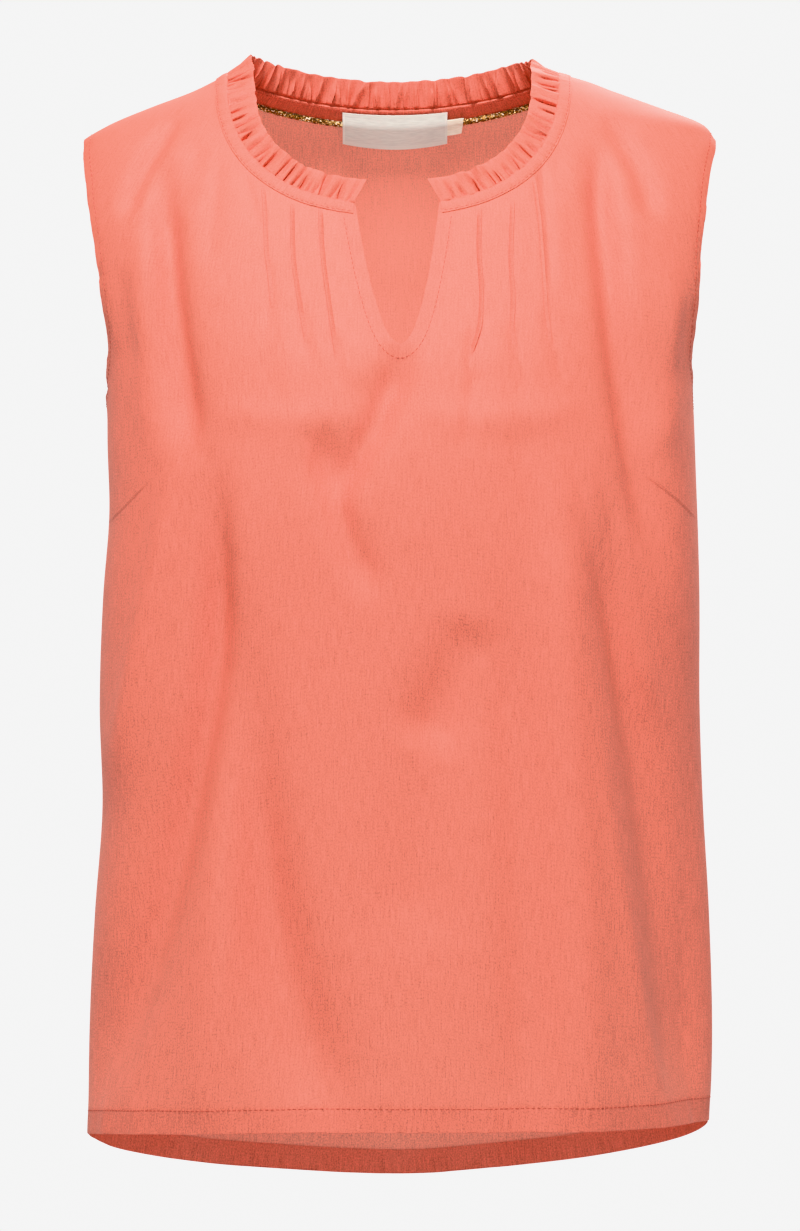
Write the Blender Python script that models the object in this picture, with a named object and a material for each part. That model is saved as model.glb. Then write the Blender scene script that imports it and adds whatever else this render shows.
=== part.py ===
"""A sleeveless blouse with a frilled round neck, a front notch and a dipped back hem, as worn but empty.

Each piece that a maker would cut and sew on is one closed solid with its own name. Sizes are in
millimetres: X runs across the wearer, from the picture's left to its right, Y from the front to the back,
and Z up. The origin lies midway between the two points where the shoulder seams meet the neck. Every piece
is worked out from one form, a stack of rounded sections, and from the neckline drawn on it.
"""

import math
from collections import namedtuple
from functools import lru_cache

import bmesh
import bpy
import numpy as np

FRONT, BACK = -1, 1
LEFT, RIGHT = -1, 1

# ---------------------------------------------------------------- driving dimensions, in millimetres
METRES_PER_MM = 0.001

PANEL_WALL = 1.2  # the front's and the back's walls, heavier than the real cloth
TURNING_WALL = 0.5  # what the turned hem adds to the wall, on the inside
TRIM_WALL = 1.0  # band, frill and tape
LABEL_WALL = 1.0
SEAM_GAP = 0.3  # between pieces that are sewn together

NECK_HALF_WIDTH = 95.0
NECK_CENTRE_X = -4.0  # the neck sits a little to the picture's left
# Each half of the neckline follows cos(turn) ** across sideways and drop * sin(turn) ** down.
NeckCurve = namedtuple("NeckCurve", "drop across down")
NECK_CURVES = {FRONT: NeckCurve(81.0, 0.816, 0.816), BACK: NeckCurve(14.5, 1.0, 2.0)}

NOTCH_HALF_WIDTH = 23.7  # at the neckline
NOTCH_CENTRE_X = -1.5  # at the neckline; at its foot it is on the middle line
NOTCH_FOOT = -161.0  # height of its lowest point

SHOULDER_TIP = -38.0  # height of the shoulder seam's outer end
UNDERARM = -188.0
HEM_FRONT = -598.0
HEM_BACK = -643.0
HEM_SIDE = -605.0
HEM_TILT = 4.0  # the side seam's foot is this much higher on the right and lower on the left
HEM_CURVES = {LEFT: 1.6, RIGHT: 1.4}  # how the hem changes height from the middle round to each side
HEM_SQUARENESS = 1.1  # half the squareness of the section there
HEM_TURNING = 14.0  # depth of the turned and stitched hem
HEM_STEP = 1.0  # height over which the turning's thickness starts

BAND_WIDTH = 7.0
BAND_COLUMNS = 81
FRILL_PLEATS = 92
FRILL_STEPS = 4  # columns of the frill in each pleat
FRILL_CLEARANCE = 1.4  # from the neck's edge to the middle of the frill's wall
PLEAT_AT_SEAM = 0.5  # half the depth of the pleats' waves
PLEAT_AT_EDGE = 1.25
FRILL_END_LEAN = 5.0  # at its free edge the frill reaches this much further into the notch
FRILL_END_PLEATS = 10  # the pleats that share in that lean
CALM_PLEATS = 3  # pleats at each end that flatten out
CALM_START = 0.3  # how far along that flattening the frill's ends still are
# The pleats are unevenly spaced and deep: each drift adds size * sin(step * column + start) to their wave.
Drift = namedtuple("Drift", "size step start")
SPACING_DRIFTS = (Drift(1.5, 0.171, 0.0), Drift(0.9, 0.437, 1.0))  # radians
DEPTH_DRIFT = Drift(0.25, 0.293, 2.0)  # share of the wave's depth

TAPE_TOP = 1.5  # below the neck seam
TAPE_WIDTH = 8.0
TAPE_DEPTH = 1.0  # from the back's inner face
TAPE_END_GAP = 22.0  # along the seam, from each shoulder seam
TAPE_COLUMNS = 41
PIPING_RADIUS = 1.5
PIPING_SIDES = 8
# Start and end are along the seam from the middle of the back, top and foot are below the seam.
Label = namedtuple("Label", "start end top foot")
NECK_LABEL = Label(-34.0, 28.0, 3.0, 23.0)
SIZE_TAB = Label(28.4, 37.5, 7.5, 18.0)
LABEL_ON_PIPING = 2.6  # a label lies on the piping this far above and below its middle
LABEL_LIFT_TOP = 0.3  # from the tape
LABEL_LIFT_FOOT = 0.6
LABEL_COLUMNS = 9

# ---------------------------------------------------------------- the form
# Half-widths to the left and right, and depths to the front and back, of the section at each height.
# Between the underarm and the shoulder tip the widths run on past the armhole, which cuts them off.
Section = namedtuple("Section", "height left right front back squareness")
SECTIONS = (
    Section(-700, 177.0, 174.0, 110, 104, 2.2),
    Section(-640, 178.5, 176.5, 111, 103, 2.2),
    Section(-550, 178.6, 179.8, 112, 100, 2.2),
    Section(-480, 175.2, 177.8, 112, 97, 2.2),
    Section(-420, 171.0, 174.3, 113, 95, 2.2),
    Section(-360, 172.5, 172.2, 115, 94, 2.25),
    Section(-300, 170.5, 172.0, 118, 95, 2.3),
    Section(-250, 166.8, 170.8, 122, 97, 2.3),
    Section(-215, 167.8, 169.6, 122, 99, 2.3),
    Section(-188, 168.3, 169.0, 119, 100, 2.3),
    Section(-171, 169.3, 169.8, 116, 100, 2.32),
    Section(-159, 171.4, 171.9, 112, 99.5, 2.38),
    Section(-141, 176.3, 177.3, 105, 98.5, 2.46),
    Section(-124, 180.8, 180.8, 98.5, 97, 2.52),
    Section(-107, 184.6, 183.4, 92, 94, 2.5),
    Section(-82, 188.8, 186.3, 82, 89, 2.4),
    Section(-60, 188.7, 186.8, 71.5, 82, 2.2),
    Section(-38, 181.0, 181.5, 60, 72, 2.0),
    Section(-29, 166.0, 173.5, 54, 66, 2.0),
    Section(-20, 144.5, 150.0, 48, 60, 2.0),
    Section(-10, 118.5, 122.0, 40, 52, 2.0),
    Section(-4, 106.5, 106.0, 34, 46, 2.0),
    Section(0, 99.0, 91.0, 29, 42, 2.0),
    Section(8, 82.0, 70.0, 18, 32, 2.0),
)

# Half-width, seen from the front, of each armhole's edge.
ArmholeEdge = namedtuple("ArmholeEdge", "height left right")
ARMHOLE_EDGES = (
    ArmholeEdge(-188, 168.3, 169.0),
    ArmholeEdge(-180, 167.8, 168.4),
    ArmholeEdge(-171, 167.2, 167.6),
    ArmholeEdge(-159, 166.8, 167.3),
    ArmholeEdge(-147, 167.7, 168.9),
    ArmholeEdge(-124, 170.3, 170.4),
    ArmholeEdge(-101, 173.4, 171.7),
    ArmholeEdge(-78, 177.2, 174.4),
    ArmholeEdge(-58, 179.4, 177.4),
    ArmholeEdge(-46, 181.0, 180.2),
    ArmholeEdge(-38, 181.0, 181.5),
)

# The frill's height, and how far it leans out from the cloth's slope, round the neck: share 0 is the middle
# of the front and 1 the middle of the back.
FrillPlace = namedtuple("FrillPlace", "height tall lean")
FRILL_PLACES = (
    FrillPlace(0.0, 13.0, 0.20),
    FrillPlace(0.25, 14.5, 0.20),
    FrillPlace(0.52, 16.5, 0.10),
    FrillPlace(0.62, 16.5, 0.30),
    FrillPlace(0.75, 15.6, 0.45),
    FrillPlace(1.0, 15.2, 0.50),
)

# ---------------------------------------------------------------- tucks and folds
# A stitched tuck runs from the neck band down to where it is let go. across_top is where it leaves the neck
# and across_foot where its line meets the row through the notch's foot, both from the middle of the front.
Tuck = namedtuple("Tuck", "side across_top across_foot release")
TUCKS = (
    Tuck(LEFT, 77.0, 70.8, -150.0),
    Tuck(LEFT, 60.7, 50.9, -158.0),
    Tuck(LEFT, 45.1, 36.5, -158.0),
    Tuck(RIGHT, 45.1, 40.4, -152.0),
    Tuck(RIGHT, 63.6, 62.0, -150.0),
    Tuck(RIGHT, 74.4, 85.0, -150.0),
)
TUCK_RISE = 1.1  # how far a tuck's fold stands out
TUCK_SLOPE = 3.0  # width of the cloth that slopes up to the fold
TUCK_STEP = 0.35  # half the width of the step behind the fold
TUCK_START = 1.5  # from the band's outer edge
TUCK_FADE_IN = 4.0  # from there a tuck rises over this length
TUCK_FADE_OUT = 22.0  # and dies away over this height where it is let go

# A fold runs through three places, each (across, height). Its half-width goes from head to foot, and rise
# is how far it stands out, or sinks in when it is negative.
Fold = namedtuple("Fold", "panel head middle foot head_width foot_width rise")
FOLDS = (
    # long soft folds that fall from the bust to the hem
    Fold(FRONT, (-101, -205), (-112, -385), (-152, -640), 9, 22, -9.0),
    Fold(FRONT, (-84, -200), (-92, -400), (-112, -660), 14, 20, 5.0),
    Fold(FRONT, (101, -205), (122, -385), (160, -640), 10, 24, -10.0),
    Fold(FRONT, (84, -205), (100, -400), (126, -660), 14, 20, 5.0),
    Fold(FRONT, (-78, -280), (-60, -450), (-22, -660), 14, 22, -3.5),
    Fold(FRONT, (50, -250), (62, -420), (76, -660), 15, 22, -3.0),
    # the ridges at the sides, behind which the cloth turns to the back
    Fold(FRONT, (-124, -215), (-143, -315), (-166, -430), 7, 12, 4.5),
    Fold(FRONT, (127, -215), (144, -315), (160, -420), 7, 12, 4.5),
    # the fall of the cloth from the shoulder, in front of each armhole
    Fold(FRONT, (-131, -40), (-129, -135), (-110, -235), 9, 13, -6.0),
    Fold(FRONT, (115, -30), (113, -130), (116, -235), 10, 13, -6.0),
    # short drags at the shoulders
    Fold(FRONT, (-122, -24), (-142, -55), (-163, -92), 6, 7, -2.6),
    Fold(FRONT, (136, -26), (146, -50), (156, -84), 6, 7, -2.2),
    # the drag that starts under the notch and turns back at the bust
    Fold(FRONT, (14, -166), (-38, -212), (-12, -296), 10, 9, -6.5),
    Fold(FRONT, (26, -180), (-8, -232), (14, -304), 12, 12, 2.5),
    # hollows in the middle of the front
    Fold(FRONT, (26, -290), (19, -343), (10, -396), 22, 20, -4.0),
    Fold(FRONT, (18, -400), (13, -435), (6, -480), 20, 18, -2.5),
    # the back hangs from the shoulder blades
    Fold(BACK, (-92, -110), (-100, -330), (-122, -690), 16, 26, -8.0),
    Fold(BACK, (88, -100), (98, -330), (124, -690), 16, 26, -8.0),
    Fold(BACK, (-62, -120), (-66, -360), (-80, -700), 18, 24, 4.0),
    Fold(BACK, (58, -130), (64, -360), (74, -700), 18, 24, 4.5),
    Fold(BACK, (2, -70), (-6, -330), (8, -700), 22, 28, -4.5),
    Fold(BACK, (-128, -60), (-135, -150), (-128, -250), 9, 14, -4.0),
    Fold(BACK, (124, -56), (132, -150), (126, -250), 9, 14, -4.0),
)
FOLD_PIECES = 24  # straight pieces of a fold's line, to which distances are measured
FOLD_HEAD_FADE = 0.3  # share of a fold's length over which it starts
FOLD_FOOT_FADE = 0.22  # and over which it ends
SEAM_FADE = 36.0  # folds flatten over this depth next to the shoulder and side seams

# ---------------------------------------------------------------- the panels' grids
# Where the panels' columns cross the split row, which parts body and chest, from the middle outwards.
FRONT_LANES = (11, 22, 104, 118, 131, 142, 151, 158, 163, 166.5)
BACK_LANES = (15, 30, 45, 60, 75, 90, 104, 118, 131, 142, 151, 158, 163, 166.5)
NECK_POINT_LANE = 118.0  # the column that ends where the neck meets the shoulder seam
TUCK_MARGIN = 8.0  # no plain column comes nearer to a side's tucks than this
SPLIT_RISE = 8.0  # the back's split row is this much higher in the middle than at the underarm
CHEST_ROWS = 13
CHEST_ROW_DRAW = 0.62  # how strongly these rows draw together towards the split row and the upper edge
# The rows below the split row, as shares of the way down to the hem's stitching.
BODY_SHARES = (0.035, 0.07, 0.11, 0.15, 0.19, 0.24, 0.29, 0.35, 0.42, 0.5, 0.58, 0.66, 0.75, 0.84, 0.92, 1)
EDGE_SAMPLES = 400  # places along the neck's and the shoulder's edges at which their lengths are measured
NECK_SKIP = 8  # every eighth of them is enough to measure how far a place is from the neck
SHARP_ANGLE = 50.0  # degrees: steeper edges than this are drawn sharp

Finish = namedtuple("Finish", "colour roughness metallic")
CORAL = Finish((0.83, 0.235, 0.165), 0.7, 0.0)
GOLD = Finish((0.62, 0.47, 0.22), 0.35, 0.9)
LABEL_SATIN = Finish((0.66, 0.62, 0.58), 0.45, 0.0)
TAB_TAPE = Finish((0.78, 0.72, 0.62), 0.6, 0.0)


# ---------------------------------------------------------------- numbers
def through(table, column, at):
    """A smooth curve through one column of a table against its heights, read at the given heights."""
    known = np.array([row.height for row in table], float)
    value = np.array([getattr(row, column) for row in table], float)
    slope = np.gradient(value, known)
    at = np.clip(at, known[0], known[-1])
    before = np.clip(np.searchsorted(known, at, side="right") - 1, 0, len(known) - 2)
    span = known[before + 1] - known[before]
    t = (at - known[before]) / span
    rise = value[before + 1] - value[before]
    bend = t * (1 - t) * ((1 - t) * (slope[before] * span - rise) - t * (slope[before + 1] * span - rise))
    return value[before] + t * rise + bend


def smooth_step(t):
    t = np.clip(t, 0.0, 1.0)
    return t * t * (3 - 2 * t)


def unit(vectors):
    return vectors / np.linalg.norm(vectors, axis=-1, keepdims=True)


def lengths_along(places):
    steps = np.linalg.norm(np.diff(places, axis=0), axis=1)
    return np.concatenate([[0.0], np.cumsum(steps)])


# ---------------------------------------------------------------- the form
def side_name(side):
    return "right" if side == RIGHT else "left"


def form_sizes(x, y, z):
    """Half-width, depth and squareness of the form's section at each place, on the place's own side."""
    width = np.where(x < 0, through(SECTIONS, "left", z), through(SECTIONS, "right", z))
    depth = np.where(y < 0, through(SECTIONS, "front", z), through(SECTIONS, "back", z))
    return width, depth, through(SECTIONS, "squareness", z)


def form_value(places):
    """Zero on the form, negative inside it."""
    x, y, z = places[..., 0], places[..., 1], places[..., 2]
    width, depth, power = form_sizes(x, y, z)
    return (np.abs(x) / width) ** power + (np.abs(y) / depth) ** power - 1


def form_slope(places, step=0.05):
    slopes = []
    for axis in range(3):
        shift = np.zeros(3)
        shift[axis] = step
        slopes.append((form_value(places + shift) - form_value(places - shift)) / (2 * step))
    return np.stack(slopes, axis=-1)


def outward(places):
    """The form's normal at each place."""
    return unit(form_slope(places))


def settled(places, rounds=6):
    """The places moved onto the form along its slope."""
    for _ in range(rounds):
        slope = form_slope(places)
        places = places - slope * (form_value(places) / (slope**2).sum(axis=-1))[..., None]
    return places


def on_form(x, z, face):
    """The form's places that are seen from the front at (x, z), on its front or on its back."""
    width, depth, power = form_sizes(x, face * np.ones_like(x), z)
    share = np.clip(1 - (np.abs(x) / width) ** power, 0, 1)
    return np.stack([x, face * depth * share ** (1 / power), z], axis=-1)


def beside_fold(fold, flat):
    """Each place's distance from a fold's line, and the share of the line at which it is nearest."""
    head, middle, foot = (np.array(place, float) for place in (fold.head, fold.middle, fold.foot))
    t = np.linspace(0, 1, FOLD_PIECES + 1)[:, None]
    line = (1 - t) * (1 - 2 * t) * head + 4 * t * (1 - t) * middle + t * (2 * t - 1) * foot
    nearest, along = np.full(len(flat), np.inf), np.zeros(len(flat))
    for number, (start, step) in enumerate(zip(line, np.diff(line, axis=0))):
        share = np.clip((flat - start) @ step / (step @ step), 0, 1)
        away = np.linalg.norm(flat - start - share[:, None] * step, axis=1)
        along = np.where(away < nearest, (number + share) / FOLD_PIECES, along)
        nearest = np.minimum(nearest, away)
    return nearest, along


def fold_rise(places, face):
    """How far the folds of one panel move each place out of the form."""
    flat = places[..., [0, 2]].reshape(-1, 2)
    total = np.zeros(len(flat))
    for fold in FOLDS:
        if fold.panel != face:
            continue
        away, along = beside_fold(fold, flat)
        reach = fold.head_width + (fold.foot_width - fold.head_width) * along
        fade = smooth_step(along / FOLD_HEAD_FADE) * smooth_step((1 - along) / FOLD_FOOT_FADE)
        total += fold.rise * fade * np.exp(-((away / reach) ** 2))
    return total.reshape(places.shape[:-1]) * smooth_step(np.abs(places[..., 1]) / SEAM_FADE)


# ---------------------------------------------------------------- the neckline and the notch
def neck_place(side, face, turn):
    """(x, z) of the neckline: turn goes from 0 at the shoulder seam to a right angle at the middle."""
    curve = NECK_CURVES[face]
    x = NECK_CENTRE_X + side * NECK_HALF_WIDTH * np.cos(turn) ** curve.across
    z = -curve.drop * np.sin(turn) ** curve.down
    return x, z


def notch_turn(side):
    """The neckline's turn where the notch's edge meets it."""
    share = side * (NOTCH_CENTRE_X + side * NOTCH_HALF_WIDTH - NECK_CENTRE_X) / NECK_HALF_WIDTH
    return math.acos(share ** (1 / NECK_CURVES[FRONT].across))


def first_turn(side, face):
    return notch_turn(side) if face == FRONT else math.pi / 2


def notch_edge(side, z):
    """The notch's edge: a parabola that opens upwards, from the middle line at its foot."""
    corner_z = neck_place(side, FRONT, notch_turn(side))[1]
    share = np.clip((z - NOTCH_FOOT) / (corner_z - NOTCH_FOOT), 0, 1)
    return NOTCH_CENTRE_X * share + side * NOTCH_HALF_WIDTH * np.sqrt(share)


@lru_cache(maxsize=None)
def neck_line():
    """Places round the neck from notch edge to notch edge, and their lengths from the back's middle."""
    quarters = []
    for side, face in ((LEFT, FRONT), (LEFT, BACK), (RIGHT, BACK), (RIGHT, FRONT)):
        turn = np.linspace(0, first_turn(side, face), EDGE_SAMPLES)
        if (side == LEFT) == (face == FRONT):
            turn = turn[::-1]
        x, z = neck_place(side, face, turn)
        quarters.append(on_form(x, z, face)[:-1])
    end = on_form(x[-1:], z[-1:], FRONT)
    places = np.concatenate([*quarters, end])
    length = lengths_along(places)
    return places, length - length[2 * (EDGE_SAMPLES - 1)]


def neck_frame(at):
    """Place, outward normal and direction into the opening, at lengths along the neckline."""
    places, length = neck_line()

    def read(values):
        return np.stack([np.interp(at, length, values[:, axis]) for axis in range(3)], axis=-1)

    place = read(places)
    normal = outward(place)
    along = unit(read(np.gradient(places, length, axis=0)))
    return place, normal, unit(np.cross(along, normal))


def beside_neck(at, distance):
    """Places on the form at a distance from the neckline, away from the opening, and their normals."""
    place, _, inward = neck_frame(at)
    for _ in range(3):
        found = settled(place - inward * distance)
        short = distance / np.linalg.norm(found - place, axis=-1, keepdims=True)
        found = settled(place + (found - place) * short)
    return found, outward(found)


# ---------------------------------------------------------------- one half of a panel
def upper_edge(side, face, q):
    """(x, z) on a half panel's upper edge: q is 0 to 1 along the neck and 1 to 2 along the shoulder."""
    turn = first_turn(side, face) * (1 - np.clip(q, 0, 1))
    neck_x, neck_z = neck_place(side, face, turn)
    seam_z = SHOULDER_TIP * np.clip(q - 1, 0, 1)
    seam_x = side * through(SECTIONS, side_name(side), seam_z)
    return np.where(q < 1, neck_x, seam_x), np.where(q < 1, neck_z, seam_z)


def armhole_edge(side, z):
    return side * through(ARMHOLE_EDGES, side_name(side), z)


def side_lane():
    return through(SECTIONS, "left", UNDERARM)


def lanes_of(side, face):
    """Where each column of the half panel crosses the split row. Each tuck has three columns of its own."""
    if face == BACK:
        return np.array((0, *BACK_LANES, side_lane()))
    feet = sorted(tuck.across_foot for tuck in TUCKS if tuck.side == side)
    tucked = [foot + shift for foot in feet for shift in (-TUCK_SLOPE, -TUCK_STEP, TUCK_STEP)]
    between = [(first + second - TUCK_SLOPE) / 2 for first, second in zip(feet, feet[1:])]
    nearest, farthest = feet[0] - TUCK_MARGIN, feet[-1] + TUCK_MARGIN
    plain = [lane for lane in FRONT_LANES if not nearest < lane < farthest]
    return np.array(sorted([0, *plain, *tucked, *between, side_lane()]))


def split_height(face, lane):
    """Height of the row between body and chest, through the notch's foot and the underarm."""
    middle = NOTCH_FOOT if face == FRONT else UNDERARM + SPLIT_RISE
    return middle + (UNDERARM - middle) * smooth_step(lane / side_lane())


def hem_height(side, face, lane):
    middle = HEM_FRONT if face == FRONT else HEM_BACK
    round_to_side = np.arcsin(np.minimum((lane / side_lane()) ** HEM_SQUARENESS, 1)) / (math.pi / 2)
    return middle + (HEM_SIDE + side * HEM_TILT - middle) * round_to_side ** HEM_CURVES[side]


def upper_ends(side, face, lanes):
    """(x, z) where each column meets the upper edge: the tucks and the neck point at their own places."""
    q = np.linspace(0, 2, 2 * EDGE_SAMPLES + 1)
    x, z = upper_edge(side, face, q)
    length = lengths_along(on_form(x, z, face))
    lane_knots, length_knots = [0.0], [0.0]
    neck = q <= 1
    if face == FRONT:
        own = [tuck for tuck in TUCKS if tuck.side == side]
        for tuck in sorted(own, key=lambda tuck: tuck.across_foot):
            lane_knots.append(tuck.across_foot)
            length_knots.append(np.interp(tuck.across_top, np.abs(x[neck]), length[neck]))
    lane_knots += [NECK_POINT_LANE, side_lane()]
    length_knots += [length[neck][-1], length[-1]]
    ends = np.interp(np.interp(lanes, lane_knots, length_knots), length, q)
    return np.stack(upper_edge(side, face, ends), axis=-1)


def chest_rows(side, face, lanes):
    """(x, z) from the split row up to the upper edge: a patch blended from its four edges."""
    share = np.linspace(0, 1, CHEST_ROWS + 1)
    rise = share - CHEST_ROW_DRAW * np.sin(2 * np.pi * share) / (2 * np.pi)
    width = through(SECTIONS, side_name(side), UNDERARM)
    bottom = np.stack([side * lanes * width / side_lane(), split_height(face, lanes)], axis=-1)
    top = upper_ends(side, face, lanes)
    inner_z = bottom[0, 1] + (top[0, 1] - bottom[0, 1]) * rise
    inner_x = notch_edge(side, inner_z) if face == FRONT else NECK_CENTRE_X * rise
    outer_z = UNDERARM + (SHOULDER_TIP - UNDERARM) * rise
    inner = np.stack([inner_x, inner_z], axis=-1)[:, None]
    outer = np.stack([armhole_edge(side, outer_z), outer_z], axis=-1)[:, None]
    u, v = (lanes / lanes[-1])[None, :, None], rise[:, None, None]
    corners = (1 - v) * ((1 - u) * bottom[0] + u * bottom[-1]) + v * ((1 - u) * top[0] + u * top[-1])
    return (1 - v) * bottom[None] + v * top[None] + (1 - u) * inner + u * outer - corners


def body_rows(side, face, lanes):
    """(x, z) from the hem's edge up to just below the split row."""
    hem, split = hem_height(side, face, lanes), split_height(face, lanes)
    stitch = hem + HEM_TURNING
    heights = [hem, stitch - HEM_STEP]
    heights += [split + (stitch - split) * share for share in BODY_SHARES[::-1]]
    z = np.array(heights)
    width = through(SECTIONS, side_name(side), z)
    return np.stack([side * width * lanes / side_lane(), z], axis=-1)


def tuck_rise(side, lanes, places):
    """How far the tucks move each place out: a slope up to the fold, and a step down behind it."""
    neck = neck_line()[0][::NECK_SKIP]
    from_neck = np.linalg.norm(places[:, :, None, :] - neck, axis=-1).min(axis=-1)
    fade_in = smooth_step((from_neck - BAND_WIDTH - TUCK_START) / TUCK_FADE_IN)
    total = np.zeros(places.shape[:-1])
    for tuck in TUCKS:
        if tuck.side != side:
            continue
        past = lanes - tuck.across_foot
        profile = np.interp(past, (-TUCK_SLOPE, -TUCK_STEP, TUCK_STEP), (0, 1, 0))
        fade_out = smooth_step((places[..., 2] - tuck.release) / TUCK_FADE_OUT + 0.5)
        total += TUCK_RISE * profile * fade_out
    return total * fade_in


def half_panel(side, face):
    """Outer and inner faces of a half panel as grids of places, from the hem up and from the middle out."""
    lanes = lanes_of(side, face)
    flat = np.concatenate([body_rows(side, face, lanes), chest_rows(side, face, lanes)])
    places = on_form(flat[..., 0], flat[..., 1], face)
    normal = outward(places)
    rise = fold_rise(places, face)
    if face == FRONT:
        rise += tuck_rise(side, lanes, places)
    outer = places + normal * rise[..., None]
    wall = np.full(places.shape[:-1], PANEL_WALL)
    wall[:2] += TURNING_WALL
    inner = outer - normal * wall[..., None]
    for grid in (outer, inner):
        grid[..., 1] = face * np.maximum(face * grid[..., 1], SEAM_GAP / 2)
    return outer, inner


# ---------------------------------------------------------------- meshes
def grid_quads(rows, columns, first=0):
    index = first + np.arange(rows * columns).reshape(rows, columns)
    corners = (index[:-1, :-1], index[:-1, 1:], index[1:, 1:], index[1:, :-1])
    return np.stack(corners, axis=-1).reshape(-1, 4)


def welded(outer, inner, quads):
    """The same surfaces with places that coincide made one."""
    _, kept, index = np.unique(np.round(outer, 4), axis=0, return_index=True, return_inverse=True)
    return outer[kept], inner[kept], index.reshape(-1)[quads]


def closed_wall(outer, inner, quads):
    """Places and faces of a wall: its outer face, its inner face and the strip that joins their edges."""
    count = len(outer)
    half_edges = np.concatenate([quads[:, [k, (k + 1) % 4]] for k in range(4)])
    known = {tuple(edge) for edge in half_edges.tolist()}
    rim = [(a, b) for a, b in known if (b, a) not in known]
    faces = quads.tolist() + (quads[:, ::-1] + count).tolist()
    faces += [(b, a, a + count, b + count) for a, b in sorted(rim)]
    return np.concatenate([outer, inner]), faces


def make_piece(name, places, faces, finish):
    """One named object from places in millimetres, with its faces turned outwards and its own material."""
    mesh = bpy.data.meshes.new(name)
    mesh.from_pydata((places * METRES_PER_MM).tolist(), [], faces)
    shell = bmesh.new()
    shell.from_mesh(mesh)
    bmesh.ops.recalc_face_normals(shell, faces=shell.faces)
    bmesh.ops.triangulate(shell, faces=shell.faces, quad_method="FIXED")
    shell.to_mesh(mesh)
    shell.free()
    mesh.shade_smooth()
    mesh.set_sharp_from_angle(angle=math.radians(SHARP_ANGLE))
    material = bpy.data.materials.new(name)
    material.use_nodes = True
    shader = material.node_tree.nodes["Principled BSDF"]
    shader.inputs["Base Color"].default_value = (*finish.colour, 1)
    shader.inputs["Roughness"].default_value = finish.roughness
    shader.inputs["Metallic"].default_value = finish.metallic
    mesh.materials.append(material)
    piece = bpy.data.objects.new(name, mesh)
    bpy.context.scene.collection.objects.link(piece)
    return piece


def make_strip(name, outer, inner, finish):
    """A piece from two grids of places, rows by columns."""
    rows, columns = outer.shape[:2]
    quads = grid_quads(rows, columns)
    return make_piece(name, *closed_wall(outer.reshape(-1, 3), inner.reshape(-1, 3), quads), finish)


# ---------------------------------------------------------------- the pieces
def make_panel(name, face):
    """The front or the back: two halves joined down the middle, as far up as the notch on the front."""
    outers, inners, quads = [], [], []
    first = 0
    for side in (LEFT, RIGHT):
        outer, inner = half_panel(side, face)
        rows, columns = outer.shape[:2]
        faces = grid_quads(rows, columns, first)
        quads.append(faces if side == RIGHT else faces[:, ::-1])
        outers.append(outer.reshape(-1, 3))
        inners.append(inner.reshape(-1, 3))
        first += rows * columns
    joined = welded(np.concatenate(outers), np.concatenate(inners), np.concatenate(quads))
    return make_piece(name, *closed_wall(*joined), CORAL)


def neck_ends():
    length = neck_line()[1]
    return length[0], length[-1]


def make_band():
    """The bias strip on top of the panels, from the neck seam outwards, from notch edge to notch edge."""
    start, end = neck_ends()
    at = np.linspace(start + SEAM_GAP, end - SEAM_GAP, BAND_COLUMNS)
    outer, inner = [], []
    for distance in (SEAM_GAP, BAND_WIDTH / 2, BAND_WIDTH):
        place, normal = beside_neck(at, distance)
        inner.append(place + normal * SEAM_GAP)
        outer.append(place + normal * (SEAM_GAP + TRIM_WALL))
    return make_strip("neck_band", np.array(outer), np.array(inner), CORAL)


def drifted(drift, column):
    return drift.size * np.sin(drift.step * column + drift.start)


def make_frill():
    """The gathered frill that stands in the neck seam. Its pleats are waves, deeper at the free edge."""
    start, end = neck_ends()
    columns = FRILL_PLEATS * FRILL_STEPS + 1
    at = np.linspace(start, end, columns)
    place, normal, inward = neck_frame(at)
    middle_share = 1 - np.abs(at) / np.where(at < 0, -start, end)
    tall = through(FRILL_PLACES, "tall", middle_share)[:, None]
    lean = through(FRILL_PLACES, "lean", middle_share)[:, None]
    up = unit(inward + lean * normal)
    out = unit(normal - lean * inward)
    along = np.cross(normal, inward)
    k = np.arange(columns)
    phase = 2 * np.pi * k / FRILL_STEPS + sum(drifted(drift, k) for drift in SPACING_DRIFTS)
    depth = 1 - DEPTH_DRIFT.size + drifted(DEPTH_DRIFT, k)
    calm = smooth_step(CALM_START + np.minimum(k, k[::-1]) / (CALM_PLEATS * FRILL_STEPS))
    wave = (np.sin(phase) * depth * calm)[:, None]
    from_start = smooth_step(1 - k / (FRILL_END_PLEATS * FRILL_STEPS))
    reach = FRILL_END_LEAN * (from_start[::-1] - from_start)[:, None]
    foot = place + inward * FRILL_CLEARANCE + out * (wave * PLEAT_AT_SEAM)
    edge = place + inward * FRILL_CLEARANCE + up * tall + out * (wave * PLEAT_AT_EDGE) + along * reach
    middle = np.array([foot, edge])
    half = out * (TRIM_WALL / 2)
    return make_strip("neck_ruffle", middle + half, middle - half, CORAL)


def inside_back(at, distance, depth):
    """Places inside the back: at lengths along the seam, a distance below it, a depth in from the form."""
    place, normal = beside_neck(at, distance)
    return place - normal * depth


def tape_places():
    length = neck_line()[1]
    quarter = EDGE_SAMPLES - 1
    return np.linspace(length[quarter] + TAPE_END_GAP, length[3 * quarter] - TAPE_END_GAP, TAPE_COLUMNS)


def make_tape():
    at = tape_places()
    depth = PANEL_WALL + TAPE_DEPTH
    drops = (TAPE_TOP, TAPE_TOP + TAPE_WIDTH / 2, TAPE_TOP + TAPE_WIDTH)
    outer = np.array([inside_back(at, drop, depth) for drop in drops])
    inner = np.array([inside_back(at, drop, depth + TRIM_WALL) for drop in drops])
    return make_strip("back_neck_tape", outer, inner, CORAL)


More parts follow.
